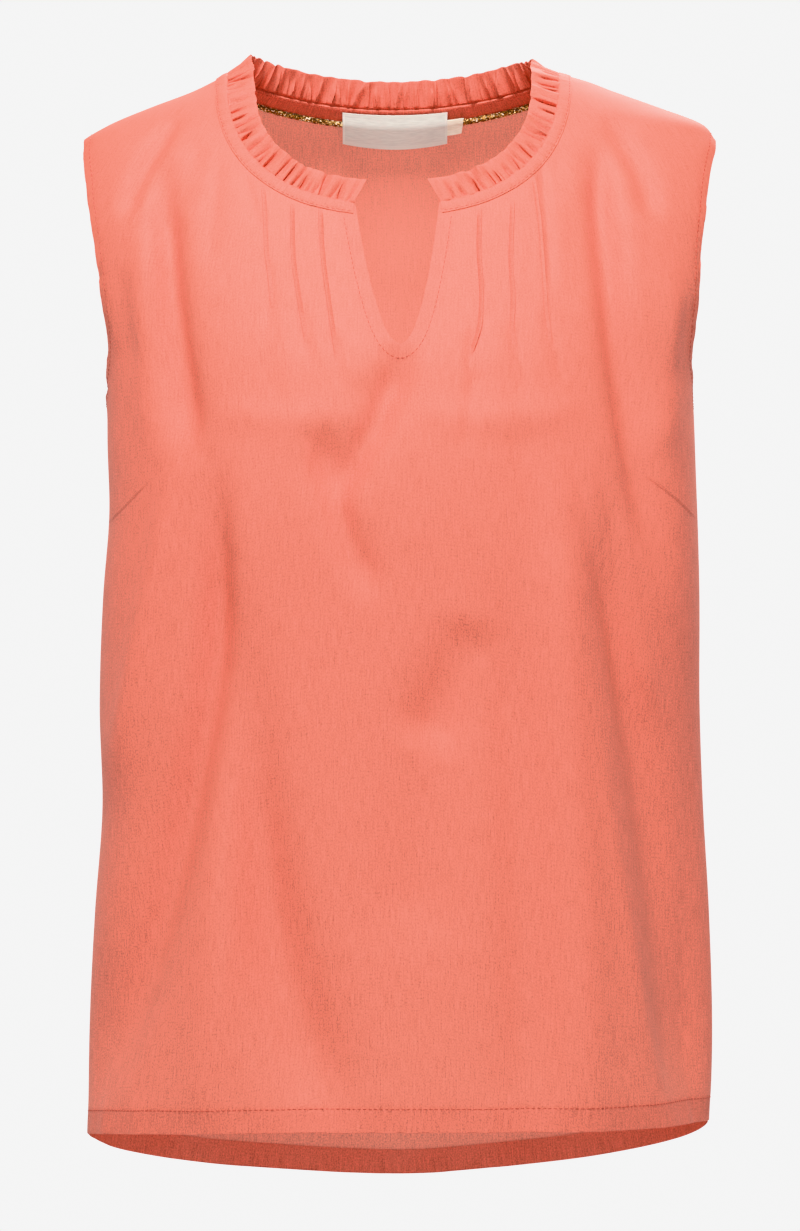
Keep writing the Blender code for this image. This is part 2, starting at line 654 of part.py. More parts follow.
def make_piping():
    """The glitter cord along the tape's lower edge: rings of points round its middle line."""
    at = tape_places()
    drop = TAPE_TOP + TAPE_WIDTH + SEAM_GAP + PIPING_RADIUS
    middle = inside_back(at, drop, PANEL_WALL + TAPE_DEPTH + PIPING_RADIUS)
    place, normal = beside_neck(at, drop)
    down = unit(place - neck_frame(at)[0])
    turn = 2 * np.pi * np.arange(PIPING_SIDES) / PIPING_SIDES
    rings = [middle + PIPING_RADIUS * (math.cos(a) * normal + math.sin(a) * down) for a in turn]
    grid = np.stack(rings, axis=1)
    index = np.arange(grid.shape[0] * PIPING_SIDES).reshape(-1, PIPING_SIDES)
    around = np.roll(index, -1, axis=1)
    corners = (index[:-1], around[:-1], around[1:], index[1:])
    faces = np.stack(corners, axis=-1).reshape(-1, 4).tolist()
    faces += [index[0].tolist(), index[-1, ::-1].tolist()]
    return make_piece("neck_piping", grid.reshape(-1, 3), faces, GOLD)


def make_label(name, label, finish):
    """Cloth inside the back that lies on the tape, bulges over the piping and hangs free below."""
    on_tape = PANEL_WALL + TAPE_DEPTH + TRIM_WALL + SEAM_GAP
    on_piping = PANEL_WALL + TAPE_DEPTH + 2 * PIPING_RADIUS + SEAM_GAP
    piping = TAPE_TOP + TAPE_WIDTH + PIPING_RADIUS
    rows = [(piping - LABEL_ON_PIPING, on_piping), (piping + LABEL_ON_PIPING, on_piping)]
    if label.top < rows[0][0]:
        rows.insert(0, (label.top, on_tape + LABEL_LIFT_TOP))
    rows.append((label.foot, on_tape + LABEL_LIFT_FOOT))
    at = np.linspace(label.start, label.end, LABEL_COLUMNS)
    outer = np.array([inside_back(at, drop, depth) for drop, depth in rows])
    inner = np.array([inside_back(at, drop, depth + LABEL_WALL) for drop, depth in rows])
    return make_strip(name, outer, inner, finish)


def make_blouse():
    make_panel("front_panel", FRONT)
    make_panel("back_panel", BACK)
    make_band()
    make_frill()
    make_tape()
    make_piping()
    make_label("neck_label", NECK_LABEL, LABEL_SATIN)
    make_label("size_tab", SIZE_TAB, TAB_TAPE)


for old in list(bpy.data.objects):
    bpy.data.objects.remove(old, do_unlink=True)
make_blouse()
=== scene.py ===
"""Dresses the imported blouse: woven cloth, gathered frill, sewing, glitter cord and labels, in a pale studio.

Sizes are in millimetres, as in the solids, and turn to metres where a mesh is made: X runs from the
picture's left to its right, Y from the front to the back, and Z up. The cloth lies on the solids' own form,
a stack of rounded sections, with the picture's large folds and with smaller creases on top of them.
"""

import logging
import math
from collections.abc import Sequence
from dataclasses import dataclass, field
from enum import IntEnum
from functools import cached_property
from typing import Any, ClassVar

import bpy
import numpy as np
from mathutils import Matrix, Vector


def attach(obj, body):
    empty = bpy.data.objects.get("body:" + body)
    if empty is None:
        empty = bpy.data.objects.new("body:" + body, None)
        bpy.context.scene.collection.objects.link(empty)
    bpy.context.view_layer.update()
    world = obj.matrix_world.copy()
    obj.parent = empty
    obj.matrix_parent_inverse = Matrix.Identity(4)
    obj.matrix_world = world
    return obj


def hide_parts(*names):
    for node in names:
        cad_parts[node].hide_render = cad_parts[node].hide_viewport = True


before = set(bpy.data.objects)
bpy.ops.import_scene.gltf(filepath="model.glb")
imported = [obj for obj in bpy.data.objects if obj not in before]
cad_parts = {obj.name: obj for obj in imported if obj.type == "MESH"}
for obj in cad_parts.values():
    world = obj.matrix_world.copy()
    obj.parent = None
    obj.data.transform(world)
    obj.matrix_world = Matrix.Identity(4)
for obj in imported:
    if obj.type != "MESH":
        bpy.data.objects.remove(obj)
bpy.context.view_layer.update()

log = logging.getLogger("blouse")
Array = np.ndarray
METRES_PER_MM = 0.001
BODY = "root"


class Face(IntEnum):
    """The two halves of the blouse, by the sign of Y."""

    FRONT = -1
    BACK = 1


class Side(IntEnum):
    """The picture's left and right, by the sign of X."""

    LEFT = -1
    RIGHT = 1


# ---------------------------------------------------------------- tables of the cut
@dataclass(frozen=True)
class Section:
    """One level of the form: half-widths to the left and right, depths to the front and back."""

    height: float
    left: float
    right: float
    front: float
    back: float
    squareness: float


@dataclass(frozen=True)
class ArmholeEdge:
    """Half-width, seen from the front, of each armhole's edge at one height."""

    height: float
    left: float
    right: float


@dataclass(frozen=True)
class FrillPlace:
    """The frill's height and outward lean; share 0 is the middle of the front, 1 of the back."""

    height: float
    tall: float
    lean: float


@dataclass(frozen=True)
class NeckCurve:
    """How one half of the neckline drops and runs sideways."""

    drop: float
    across: float
    down: float


@dataclass(frozen=True)
class Fold:
    """A soft trough or ridge through three places, each (across, height), with its half-widths and rise."""

    face: Face
    head: tuple[float, float]
    middle: tuple[float, float]
    foot: tuple[float, float]
    head_width: float
    foot_width: float
    rise: float


@dataclass(frozen=True)
class TuckLine:
    """A stitched tuck: the (across, height) places of its fold, from the band down, and its step's side."""

    side: Side
    places: tuple[tuple[float, float], ...]
    rise: float


SECTIONS = (
    Section(-700, 177.0, 174.0, 110, 104, 2.2),
    Section(-640, 178.5, 176.5, 111, 103, 2.2),
    Section(-550, 178.6, 179.8, 112, 100, 2.2),
    Section(-480, 175.2, 177.8, 112, 97, 2.2),
    Section(-420, 171.0, 174.3, 113, 95, 2.2),
    Section(-360, 172.5, 172.2, 115, 94, 2.25),
    Section(-300, 170.5, 172.0, 118, 95, 2.3),
    Section(-250, 166.8, 170.8, 122, 97, 2.3),
    Section(-215, 167.8, 169.6, 122, 99, 2.3),
    Section(-188, 168.3, 169.0, 119, 100, 2.3),
    Section(-171, 169.3, 169.8, 116, 100, 2.32),
    Section(-159, 171.4, 171.9, 112, 99.5, 2.38),
    Section(-141, 176.3, 177.3, 105, 98.5, 2.46),
    Section(-124, 180.8, 180.8, 98.5, 97, 2.52),
    Section(-107, 184.6, 183.4, 92, 94, 2.5),
    Section(-82, 188.8, 186.3, 82, 89, 2.4),
    Section(-60, 188.7, 186.8, 71.5, 82, 2.2),
    Section(-38, 181.0, 181.5, 60, 72, 2.0),
    Section(-29, 166.0, 173.5, 54, 66, 2.0),
    Section(-20, 144.5, 150.0, 48, 60, 2.0),
    Section(-10, 118.5, 122.0, 40, 52, 2.0),
    Section(-4, 106.5, 106.0, 34, 46, 2.0),
    Section(0, 99.0, 91.0, 29, 42, 2.0),
    Section(8, 82.0, 70.0, 18, 32, 2.0),
)
ARMHOLE_EDGES = (
    ArmholeEdge(-188, 168.3, 169.0),
    ArmholeEdge(-180, 167.8, 168.4),
    ArmholeEdge(-171, 167.2, 167.6),
    ArmholeEdge(-159, 166.8, 167.3),
    ArmholeEdge(-147, 167.7, 168.9),
    ArmholeEdge(-124, 170.3, 170.4),
    ArmholeEdge(-101, 173.4, 171.7),
    ArmholeEdge(-78, 177.2, 174.4),
    ArmholeEdge(-58, 179.4, 177.4),
    ArmholeEdge(-46, 181.0, 180.2),
    ArmholeEdge(-38, 181.0, 181.5),
)
FRILL_PLACES = (
    FrillPlace(0.0, 13.0, 0.20),
    FrillPlace(0.25, 14.5, 0.20),
    FrillPlace(0.52, 16.5, 0.10),
    FrillPlace(0.62, 16.5, 0.30),
    FrillPlace(0.75, 15.6, 0.45),
    FrillPlace(1.0, 15.2, 0.50),
)
NECK_CURVES = {Face.FRONT: NeckCurve(81.0, 0.816, 0.816), Face.BACK: NeckCurve(14.5, 1.0, 2.0)}
NECK_HALF_WIDTH = 95.0
NECK_CENTRE_X = -4.0
NOTCH_HALF_WIDTH = 23.7
NOTCH_CENTRE_X = -1.5
NOTCH_FOOT = -161.0
SHOULDER_TIP = -38.0
UNDERARM = -188.0
HEM_MIDDLE = {Face.FRONT: -598.0, Face.BACK: -643.0}
HEM_SIDE = -605.0
HEM_TILT = 4.0
HEM_CURVES = {Side.LEFT: 1.6, Side.RIGHT: 1.4}
HEM_SQUARENESS = 1.1
HEM_TURNING = 14.0
NECK_POINT_LANE = 118.0  # the column that ends where the neck meets the shoulder seam
BACK_SPLIT_RISE = 8.0
SEAM_FADE = 36.0  # folds flatten over this depth next to the shoulder and side seams
FACING_WIDTH = 8.0
NOTCH_FACING_WIDTH = 9.5
ALLOWANCE_WIDTH = 9.0
ALLOWANCE_MARGIN = 15.0
ARMHOLE_STITCHES_AT = 5.0
NOTCH_STITCHES_AT = 7.5
TAPE_STITCHES_AT = 1.6
SMOOTH_BELOW = 55.0  # degrees; an edge that turns more than this is drawn sharp

FRONT, BACK = Face.FRONT, Face.BACK
# The large folds are matched to the picture: most on the front are deeper than the solids'; some lie apart.
LARGE_FOLDS = (
    Fold(FRONT, (-107, -205), (-118, -400), (-196, -625), 9, 18, -13.5),
    Fold(FRONT, (-88, -200), (-94, -400), (-120, -660), 12, 18, 6.5),
    Fold(FRONT, (104, -212), (142, -400), (175, -650), 11, 22, -14.5),
    Fold(FRONT, (84, -205), (96, -400), (108, -670), 13, 17, 6.5),
    Fold(FRONT, (138, -262), (166, -430), (186, -640), 13, 20, -5.5),
    Fold(FRONT, (-84, -236), (-80, -440), (-24, -620), 14, 23, -12.0),
    Fold(FRONT, (56, -280), (66, -430), (72, -640), 13, 18, -5.5),
    Fold(FRONT, (-124, -215), (-143, -315), (-166, -430), 7, 12, 4.5),
    Fold(FRONT, (100, -215), (123, -290), (156, -385), 6, 9, 4.0),
    Fold(FRONT, (-132, -46), (-130, -135), (-114, -238), 8, 12, -10.5),
    Fold(FRONT, (111, -30), (122, -150), (152, -310), 8, 12, -9.5),
    Fold(FRONT, (-122, -24), (-144, -56), (-158, -92), 5, 6, -4.5),
    Fold(FRONT, (112, -26), (134, -56), (143, -92), 6, 7, -4.0),
    Fold(FRONT, (6, -158), (-13, -202), (-37, -250), 10, 11, -8.5),
    Fold(FRONT, (-44, -198), (-36, -248), (-12, -306), 11, 9, -6.5),
    Fold(FRONT, (44, -310), (28, -348), (8, -388), 17, 17, -6.0),
    Fold(FRONT, (42, -326), (22, -410), (4, -510), 26, 28, -4.5),
    Fold(FRONT, (-112, -194), (-60, -203), (-8, -198), 10, 10, 2.2),
    Fold(FRONT, (4, -198), (56, -203), (110, -194), 10, 10, 2.2),
    Fold(BACK, (-92, -110), (-100, -330), (-122, -690), 16, 26, -8.0),
    Fold(BACK, (88, -100), (98, -330), (124, -690), 16, 26, -8.0),
    Fold(BACK, (-62, -120), (-66, -360), (-80, -700), 18, 24, 4.0),
    Fold(BACK, (58, -130), (64, -360), (74, -700), 18, 24, 4.5),
    Fold(BACK, (2, -70), (-6, -330), (8, -700), 22, 28, -4.5),
    Fold(BACK, (-128, -60), (-135, -150), (-128, -250), 9, 14, -4.0),
    Fold(BACK, (124, -56), (132, -150), (126, -250), 9, 14, -4.0),
)
SMALL_FOLDS = (
    # where the tucks are let go, the cloth breaks into short creases
    Fold(FRONT, (-75, -112), (-73, -128), (-73, -156), 2.4, 3.6, -1.0),
    Fold(FRONT, (-57, -134), (-53, -155), (-48, -178), 2.4, 3.6, -1.0),
    Fold(FRONT, (-38, -152), (-36, -166), (-30, -194), 2.4, 3.8, -1.1),
    Fold(FRONT, (45, -146), (39, -166), (44, -186), 2.6, 3.2, -1.2),
    Fold(FRONT, (43, -176), (39, -192), (36, -226), 3.0, 5.0, -1.3),
    Fold(FRONT, (62, -148), (65, -163), (71, -192), 2.4, 3.8, -1.0),
    Fold(FRONT, (82, -136), (85, -158), (92, -186), 2.6, 4.2, -1.0),
    Fold(FRONT, (-66, -140), (-64, -165), (-60, -196), 4.5, 7.0, 0.9),
    Fold(FRONT, (54, -140), (54, -168), (56, -204), 5.0, 7.5, 0.9),
    Fold(FRONT, (79, -50), (82, -88), (85, -136), 2.6, 3.6, -1.8),
    # puckers beside the band and at the shoulders
    Fold(FRONT, (-88, -64), (-84, -76), (-80, -98), 2.6, 4.0, -0.9),
    Fold(FRONT, (-113, -40), (-117, -62), (-120, -86), 5.0, 8.0, -1.3),
    Fold(FRONT, (-101, -50), (-105, -82), (-108, -122), 5.0, 8.0, -1.3),
    Fold(FRONT, (-126, -66), (-134, -90), (-136, -124), 5.0, 8.0, 1.2),
    Fold(FRONT, (112, -44), (113, -62), (111, -92), 5.0, 7.0, -1.2),
    Fold(FRONT, (98, -66), (100, -100), (101, -140), 6.0, 9.0, -1.2),
    Fold(FRONT, (-158, -110), (-157, -140), (-148, -180), 5.0, 8.0, -1.8),
    Fold(FRONT, (-142, -80), (-143, -150), (-137, -230), 7.0, 9.0, 3.0),
    Fold(FRONT, (150, -104), (153, -165), (146, -230), 8.0, 9.0, 3.0),
    Fold(FRONT, (160, -134), (162, -152), (150, -196), 4.0, 8.0, -1.6),
    # light ridges down the body
    Fold(FRONT, (-123, -238), (-140, -314), (-163, -404), 4.0, 6.0, 1.3),
    Fold(FRONT, (125, -232), (134, -300), (154, -368), 4.0, 6.0, 1.1),
    Fold(FRONT, (104, -340), (128, -480), (158, -600), 4.5, 7.0, 1.4),
    Fold(FRONT, (-92, -470), (-104, -540), (-114, -600), 6.0, 9.0, 1.0),
    # drags under the notch
    Fold(FRONT, (-8, -176), (-34, -206), (-52, -252), 7.0, 10.0, -1.8),
    Fold(FRONT, (-2, -212), (-22, -250), (-22, -300), 7.0, 8.0, 1.5),
    Fold(FRONT, (66, -196), (72, -236), (92, -292), 8.0, 12.0, -1.8),
    # the back, between the shoulder blades and at the armholes
    Fold(BACK, (-36, -60), (-40, -130), (-38, -230), 8.0, 14.0, -1.6),
    Fold(BACK, (34, -56), (40, -140), (36, -240), 8.0, 14.0, -1.5),
    Fold(BACK, (-150, -130), (-138, -170), (-108, -210), 6.0, 10.0, -2.0),
    Fold(BACK, (150, -128), (136, -168), (104, -214), 6.0, 10.0, -2.0),
    Fold(BACK, (-110, -46), (-122, -76), (-142, -104), 5.0, 8.0, -1.3),
    Fold(BACK, (112, -44), (124, -72), (144, -100), 5.0, 8.0, -1.3),
    Fold(BACK, (30, -330), (22, -440), (34, -620), 10.0, 16.0, 1.8),
    Fold(BACK, (-34, -360), (-40, -470), (-30, -640), 10.0, 16.0, 1.6),
)
TUCK_LINES = (
    TuckLine(Side.LEFT, ((-77.4, -70.4), (-76.1, -90.2), (-75.3, -109), (-73.5, -122), (-72, -140)), 0.55),
    TuckLine(Side.LEFT, ((-61, -81), (-60.9, -97.2), (-60.2, -113.3), (-56.7, -136.1), (-52.6, -160)), 0.8),
    TuckLine(Side.LEFT, ((-45.3, -83.5), (-44.7, -99), (-43.5, -113.4), (-40, -139), (-35.6, -169)), 0.8),
    TuckLine(Side.RIGHT, ((45.3, -83.5), (44.6, -107.6), (46.2, -127.6), (45.5, -150.3), (39.8, -167)), 1.0),
    TuckLine(Side.RIGHT, ((63.9, -78.7), (62.4, -113.2), (63.9, -136), (62.7, -151), (65.5, -163)), 0.85),
    TuckLine(Side.RIGHT, ((75.8, -63.9), (78.9, -87.2), (80.9, -113.1), (81.8, -138.7), (85, -160)), 0.85),
)
DARTS = (
    TuckLine(Side.RIGHT, ((168.6, -255.5), (161.5, -249.5), (153.5, -242), (144, -233)), 0.35),
    TuckLine(Side.LEFT, ((-166.2, -258), (-159, -252), (-151, -244.5), (-142, -236)), 0.3),
)


# ---------------------------------------------------------------- numbers
def through(table: Sequence[Any], column: str, at: Array | float) -> Array:
    """Read a smooth curve through one column of a table.

    Args:
        table: Rows that each have a height.
        column: The column to read.
        at: The heights at which to read it.

    Returns:
        The column's values there.
    """
    known = np.array([row.height for row in table], float)
    value = np.array([getattr(row, column) for row in table], float)
    slope = np.gradient(value, known)
    at = np.clip(at, known[0], known[-1])
    before = np.clip(np.searchsorted(known, at, side="right") - 1, 0, len(known) - 2)
    span = known[before + 1] - known[before]
    t = (at - known[before]) / span
    rise = value[before + 1] - value[before]
    bend = t * (1 - t) * ((1 - t) * (slope[before] * span - rise) - t * (slope[before + 1] * span - rise))
    return value[before] + t * rise + bend


def smooth_step(t: Array) -> Array:
    """Ease from 0 to 1."""
    t = np.clip(t, 0.0, 1.0)
    return t * t * (3 - 2 * t)


def unit(vectors: Array) -> Array:
    """Vectors of length one."""
    return vectors / np.maximum(np.linalg.norm(vectors, axis=-1, keepdims=True), 1e-12)


def lengths_along(places: Array) -> Array:
    """Length from the first place to each place of a line."""
    steps = np.linalg.norm(np.diff(places, axis=0), axis=1)
    return np.concatenate([[0.0], np.cumsum(steps)])


class SoftNoise:
    """Smooth random values over a plane, the same at each run."""

    SIZE = 64

    def __init__(self, seed: int) -> None:
        """Draw the values at the corners of the plane's squares."""
        self.corners = np.random.default_rng(seed).uniform(-1, 1, (self.SIZE, self.SIZE))

    def at(self, u: Array, v: Array) -> Array:
        """Read the values.

        Args:
            u: Places along one way, in squares.
            v: Places along the other.

        Returns:
            Values from -1 to 1.
        """
        u, v = np.broadcast_arrays(np.asarray(u, float), np.asarray(v, float))
        left, low = np.floor(u).astype(int), np.floor(v).astype(int)
        across, up = smooth_step(u - left), smooth_step(v - low)
        near, far = left % self.SIZE, (left + 1) % self.SIZE
        foot, head = low % self.SIZE, (low + 1) % self.SIZE
        bottom = self.corners[near, foot] * (1 - across) + self.corners[far, foot] * across
        top = self.corners[near, head] * (1 - across) + self.corners[far, head] * across
        return bottom * (1 - up) + top * up


# ---------------------------------------------------------------- the worn form
def side_name(side: Side) -> str:
    """The tables' column for a side."""
    return "right" if side == Side.RIGHT else "left"


def form_sizes(x: Array, y: Array, z: Array) -> tuple[Array, Array, Array]:
    """Half-width, depth and squareness of the form's section at each place, on the place's own side.

    Args:
        x: Places across.
        y: Places in depth.
        z: Heights.

    Returns:
        Half-widths, depths and squareness.
    """
    width = np.where(x < 0, through(SECTIONS, "left", z), through(SECTIONS, "right", z))
    depth = np.where(y < 0, through(SECTIONS, "front", z), through(SECTIONS, "back", z))
    return width, depth, through(SECTIONS, "squareness", z)


def form_value(places: Array) -> Array:
    """Zero on the form, negative inside it.

    Args:
        places: Places in millimetres.

    Returns:
        The form's values.
    """
    x, y, z = places[..., 0], places[..., 1], places[..., 2]
    width, depth, power = form_sizes(x, y, z)
    return (np.abs(x) / width) ** power + (np.abs(y) / depth) ** power - 1


def form_slope(places: Array, step: float = 0.05) -> Array:
    """The way in which the form's value grows, at each place.

    Args:
        places: Places in millimetres.
        step: How far apart.

    Returns:
        The slopes.
    """
    slopes = []
    for axis in range(3):
        shift = np.zeros(3)
        shift[axis] = step
        slopes.append((form_value(places + shift) - form_value(places - shift)) / (2 * step))
    return np.stack(slopes, axis=-1)


def outward(places: Array) -> Array:
    """The form's normal at each place."""
    return unit(form_slope(places))


def settled(places: Array, rounds: int = 6) -> Array:
    """Move places onto the form along its slope.

    Args:
        places: Places in millimetres.
        rounds: How often to move them.

    Returns:
        Places on the form.
    """
    for _ in range(rounds):
        slope = form_slope(places)
        places = places - slope * (form_value(places) / (slope**2).sum(axis=-1))[..., None]
    return places


def on_form(x: Array, z: Array, face: Face) -> Array:
    """The form's places that are seen at (x, z) on its front or on its back.

    Args:
        x: Places across.
        z: Heights.
        face: Front or back.

    Returns:
        Places on the form.
    """
    width, depth, power = form_sizes(x, face * np.ones_like(x), z)
    share = np.clip(1 - (np.abs(x) / width) ** power, 0, 1)
    return np.stack([x, face * depth * share ** (1 / power), z], axis=-1)


# ---------------------------------------------------------------- edges drawn on the form
@dataclass
class FormLine:
    """A line on the form, such as an edge, that knows its lengths and the way across the cloth from it."""

    places: Array
    cloth_at: tuple[float, float, float]  # a place on the side of the line where its cloth is
    start: float = 0.0

    @cached_property
    def lengths(self) -> Array:
        """Length of each place from the line's zero."""
        return lengths_along(self.places) + self.start

    @cached_property
    def turned(self) -> float:
        """Which of the two ways across the line leads over its cloth.

        Returns:
            1 or -1.
        """
        middle = np.array([self.lengths[len(self.lengths) // 2]])
        place, _, aside = self._frame(middle)
        return float(np.sign(((np.array(self.cloth_at) - place) * aside).sum()))

    def _read(self, at: Array, values: Array) -> Array:
        """Values at lengths along the line."""
        return np.stack([np.interp(at, self.lengths, values[:, axis]) for axis in range(3)], axis=-1)

    def _frame(self, at: Array) -> tuple[Array, Array, Array]:
        """Places, normals and ways across, before those are turned to the cloth's side.

        Args:
            at: Lengths along the line.

        Returns:
            Three arrays of vectors.
        """
        place = self._read(at, self.places)
        normal = outward(place)
        along = unit(self._read(at, np.gradient(self.places, self.lengths, axis=0)))
        return place, normal, unit(np.cross(along, normal))

    def frame(self, at: Array) -> tuple[Array, Array, Array]:
        """Places, outward normals and ways across the cloth.

        Args:
            at: Lengths along the line.

        Returns:
            Three arrays of vectors.
        """
        place, normal, aside = self._frame(at)
        return place, normal, aside * self.turned

    def beside(self, at: Array, distance: float) -> tuple[Array, Array]:
        """Places on the form next to the line.

        Args:
            at: Lengths along the line.
            distance: How far from it, over the cloth.

        Returns:
            The places and their outward normals.
        """
        place, normal, aside = self.frame(at)
        if distance == 0:
            return place, normal
        for _ in range(3):
            found = settled(place + aside * distance)
            short = abs(distance) / np.linalg.norm(found - place, axis=-1, keepdims=True)
            found = settled(place + (found - place) * short)
        return found, outward(found)

    def spaced(self, step: float, margin: float = 0.0) -> Array:
        """Lengths along the line, evenly spaced.

        Args:
            step: About how far apart.
            margin: What is left out at each end.

        Returns:
            The lengths.
        """
        first, last = self.lengths[0] + margin, self.lengths[-1] - margin
        return np.linspace(first, last, max(2, round((last - first) / step) + 1))


def neck_place(side: Side, face: Face, turn: Array) -> tuple[Array, Array]:
    """(x, z) of the neckline: turn goes from 0 at the shoulder seam to a right angle at the middle.

    Args:
        side: Left or right.
        face: Front or back.
        turn: Angles along the quarter.

    Returns:
        X and z.
    """
    curve = NECK_CURVES[face]
    x = NECK_CENTRE_X + side * NECK_HALF_WIDTH * np.cos(turn) ** curve.across
    return x, -curve.drop * np.sin(turn) ** curve.down


def first_turn(side: Side, face: Face) -> float:
    """The turn at which a quarter of the neckline starts: at the notch's edge, or the back's middle.

    Args:
        side: Left or right.
        face: Front or back.

    Returns:
        The angle.
    """
    if face == BACK:
        return math.pi / 2
    share = side * (NOTCH_CENTRE_X + side * NOTCH_HALF_WIDTH - NECK_CENTRE_X) / NECK_HALF_WIDTH
    return math.acos(share ** (1 / NECK_CURVES[FRONT].across))


def notch_edge(side: Side, z: Array) -> Array:
    """X of the notch's edge: a parabola that opens upwards from its foot.

    Args:
        side: Left or right.
        z: Heights.

    Returns:
        X at each height.
    """
    corner_z = neck_place(side, FRONT, first_turn(side, FRONT))[1]
    share = np.clip((z - NOTCH_FOOT) / (corner_z - NOTCH_FOOT), 0, 1)
    return NOTCH_CENTRE_X * share + side * NOTCH_HALF_WIDTH * np.sqrt(share)


def armhole_edge(side: Side, z: Array) -> Array:
    """X of the armhole's edge at each height."""
    return side * through(ARMHOLE_EDGES, side_name(side), z)


def side_lane() -> float:
    """How far out the side seam is at the underarm, where the columns get their names."""
    return float(through(SECTIONS, "left", UNDERARM))


def hem_height(side: Side, face: Face, lane: Array) -> Array:
    """Height of the hem's edge at each column.

    Args:
        side: Left or right.
        face: Front or back.
        lane: The columns.

    Returns:
        The heights.
    """
    middle = HEM_MIDDLE[face]
    turned = np.arcsin(np.minimum((lane / side_lane()) ** HEM_SQUARENESS, 1)) / (math.pi / 2)
    return middle + (HEM_SIDE + side * HEM_TILT - middle) * turned ** HEM_CURVES[side]


def neck_line(samples: int = 400) -> FormLine:
    """The neckline from notch edge to notch edge, with length 0 at the middle of the back.

    Args:
        samples: How many places to a stretch.

    Returns:
        The line.
    """
    quarters = []
    for side, face in ((Side.LEFT, FRONT), (Side.LEFT, BACK), (Side.RIGHT, BACK), (Side.RIGHT, FRONT)):
        turn = np.linspace(0, first_turn(side, face), samples)
        if (side == Side.LEFT) == (face == FRONT):
            turn = turn[::-1]
        x, z = neck_place(side, face, turn)
        quarters.append(on_form(x, z, face)[:-1])
    places = np.concatenate([*quarters, on_form(x[-1:], z[-1:], FRONT)])
    return FormLine(places, (-150, 0, -60), -lengths_along(places)[2 * (samples - 1)])


def armhole_line(side: Side, samples: int = 160) -> FormLine:
    """Round one armhole, from the underarm up the front to the shoulder and down the back.

    Args:
        side: Left or right.
        samples: How many places to a stretch.

    Returns:
        The line.
    """
    share = (1 - np.cos(np.linspace(0, math.pi, samples))) / 2
    z = UNDERARM + (SHOULDER_TIP - UNDERARM) * share
    front = on_form(armhole_edge(side, z), z, FRONT)
    back = on_form(armhole_edge(side, z), z, BACK)[::-1]
    return FormLine(np.concatenate([front, back[1:]]), (side * 100, 0, -20))


def notch_line(samples: int = 120) -> FormLine:
    """Round the notch, from its left corner down to its foot and up to the right corner.

    Args:
        samples: How many places to a stretch.

    Returns:
        The line.
    """
    share = np.linspace(1, 0, samples) ** 2
    halves = []
    for side in Side:
        corner_z = neck_place(side, FRONT, first_turn(side, FRONT))[1]
        z = NOTCH_FOOT + (corner_z - NOTCH_FOOT) * share
        halves.append(on_form(notch_edge(side, z), z, FRONT))
    return FormLine(np.concatenate([halves[0], halves[1][-2::-1]]), (0, -110, -220))


def hem_line(face: Face, samples: int = 200) -> FormLine:
    """One panel's hem edge, from the left side seam to the right one.

    Args:
        face: Front or back.
        samples: How many places to a stretch.

    Returns:
        The line.
    """
    halves = []
    for side in Side:
        lane = side_lane() * np.sin(np.linspace(0, math.pi / 2, samples))
        z = hem_height(side, face, lane)
        x = side * through(SECTIONS, side_name(side), z) * lane / side_lane()
        halves.append(on_form(x, z, face))
    return FormLine(np.concatenate([halves[0][::-1], halves[1][1:]]), (0, 100 * face, -300))


def side_seam_line(side: Side, samples: int = 200) -> FormLine:
    """One side seam, from the hem up to the underarm; its cloth is the back's.

    Args:
        side: Left or right.
        samples: How many places to a stretch.

    Returns:
        The line.
    """
    z = np.linspace(HEM_SIDE + side * HEM_TILT, UNDERARM, samples)
    x = side * through(SECTIONS, side_name(side), z)
    return FormLine(np.stack([x, np.zeros_like(x), z], axis=-1), (side * 100, 90, -400))


# ---------------------------------------------------------------- the cloth's surface
@dataclass(frozen=True)
class Ripple:
    """Small waves along a sewn edge, where the thread draws the cloth in."""

    line: FormLine
    depth: float
    wave: float
    reach: float
    noise: SoftNoise
    NEAR: ClassVar[float] = 2.6  # beyond this many reaches a wave is too small to show

    def rise(self, places: Array) -> Array:
        """How far the waves lift each place.

        Args:
            places: Places in millimetres.

        Returns:
            The rise at each.
        """
        samples = self.line.places[::3]
        lengths = self.line.lengths[::3]
        margin = self.NEAR * self.reach
        low, high = samples.min(axis=0) - margin, samples.max(axis=0) + margin
        rise = np.zeros(len(places))
        near = np.flatnonzero(((places > low) & (places < high)).all(axis=1))
        if len(near) == 0:
            return rise
        nearest, at = np.full(len(near), np.inf), np.zeros(len(near))
        for sample, length in zip(samples, lengths):
            away = np.linalg.norm(places[near] - sample, axis=1)
            at = np.where(away < nearest, length, at)
            nearest = np.minimum(nearest, away)
        waves = self.noise.at(at / self.wave, nearest / (3 * self.wave))
        rise[near] = self.depth * waves * np.exp(-((nearest / self.reach) ** 2))
        return rise


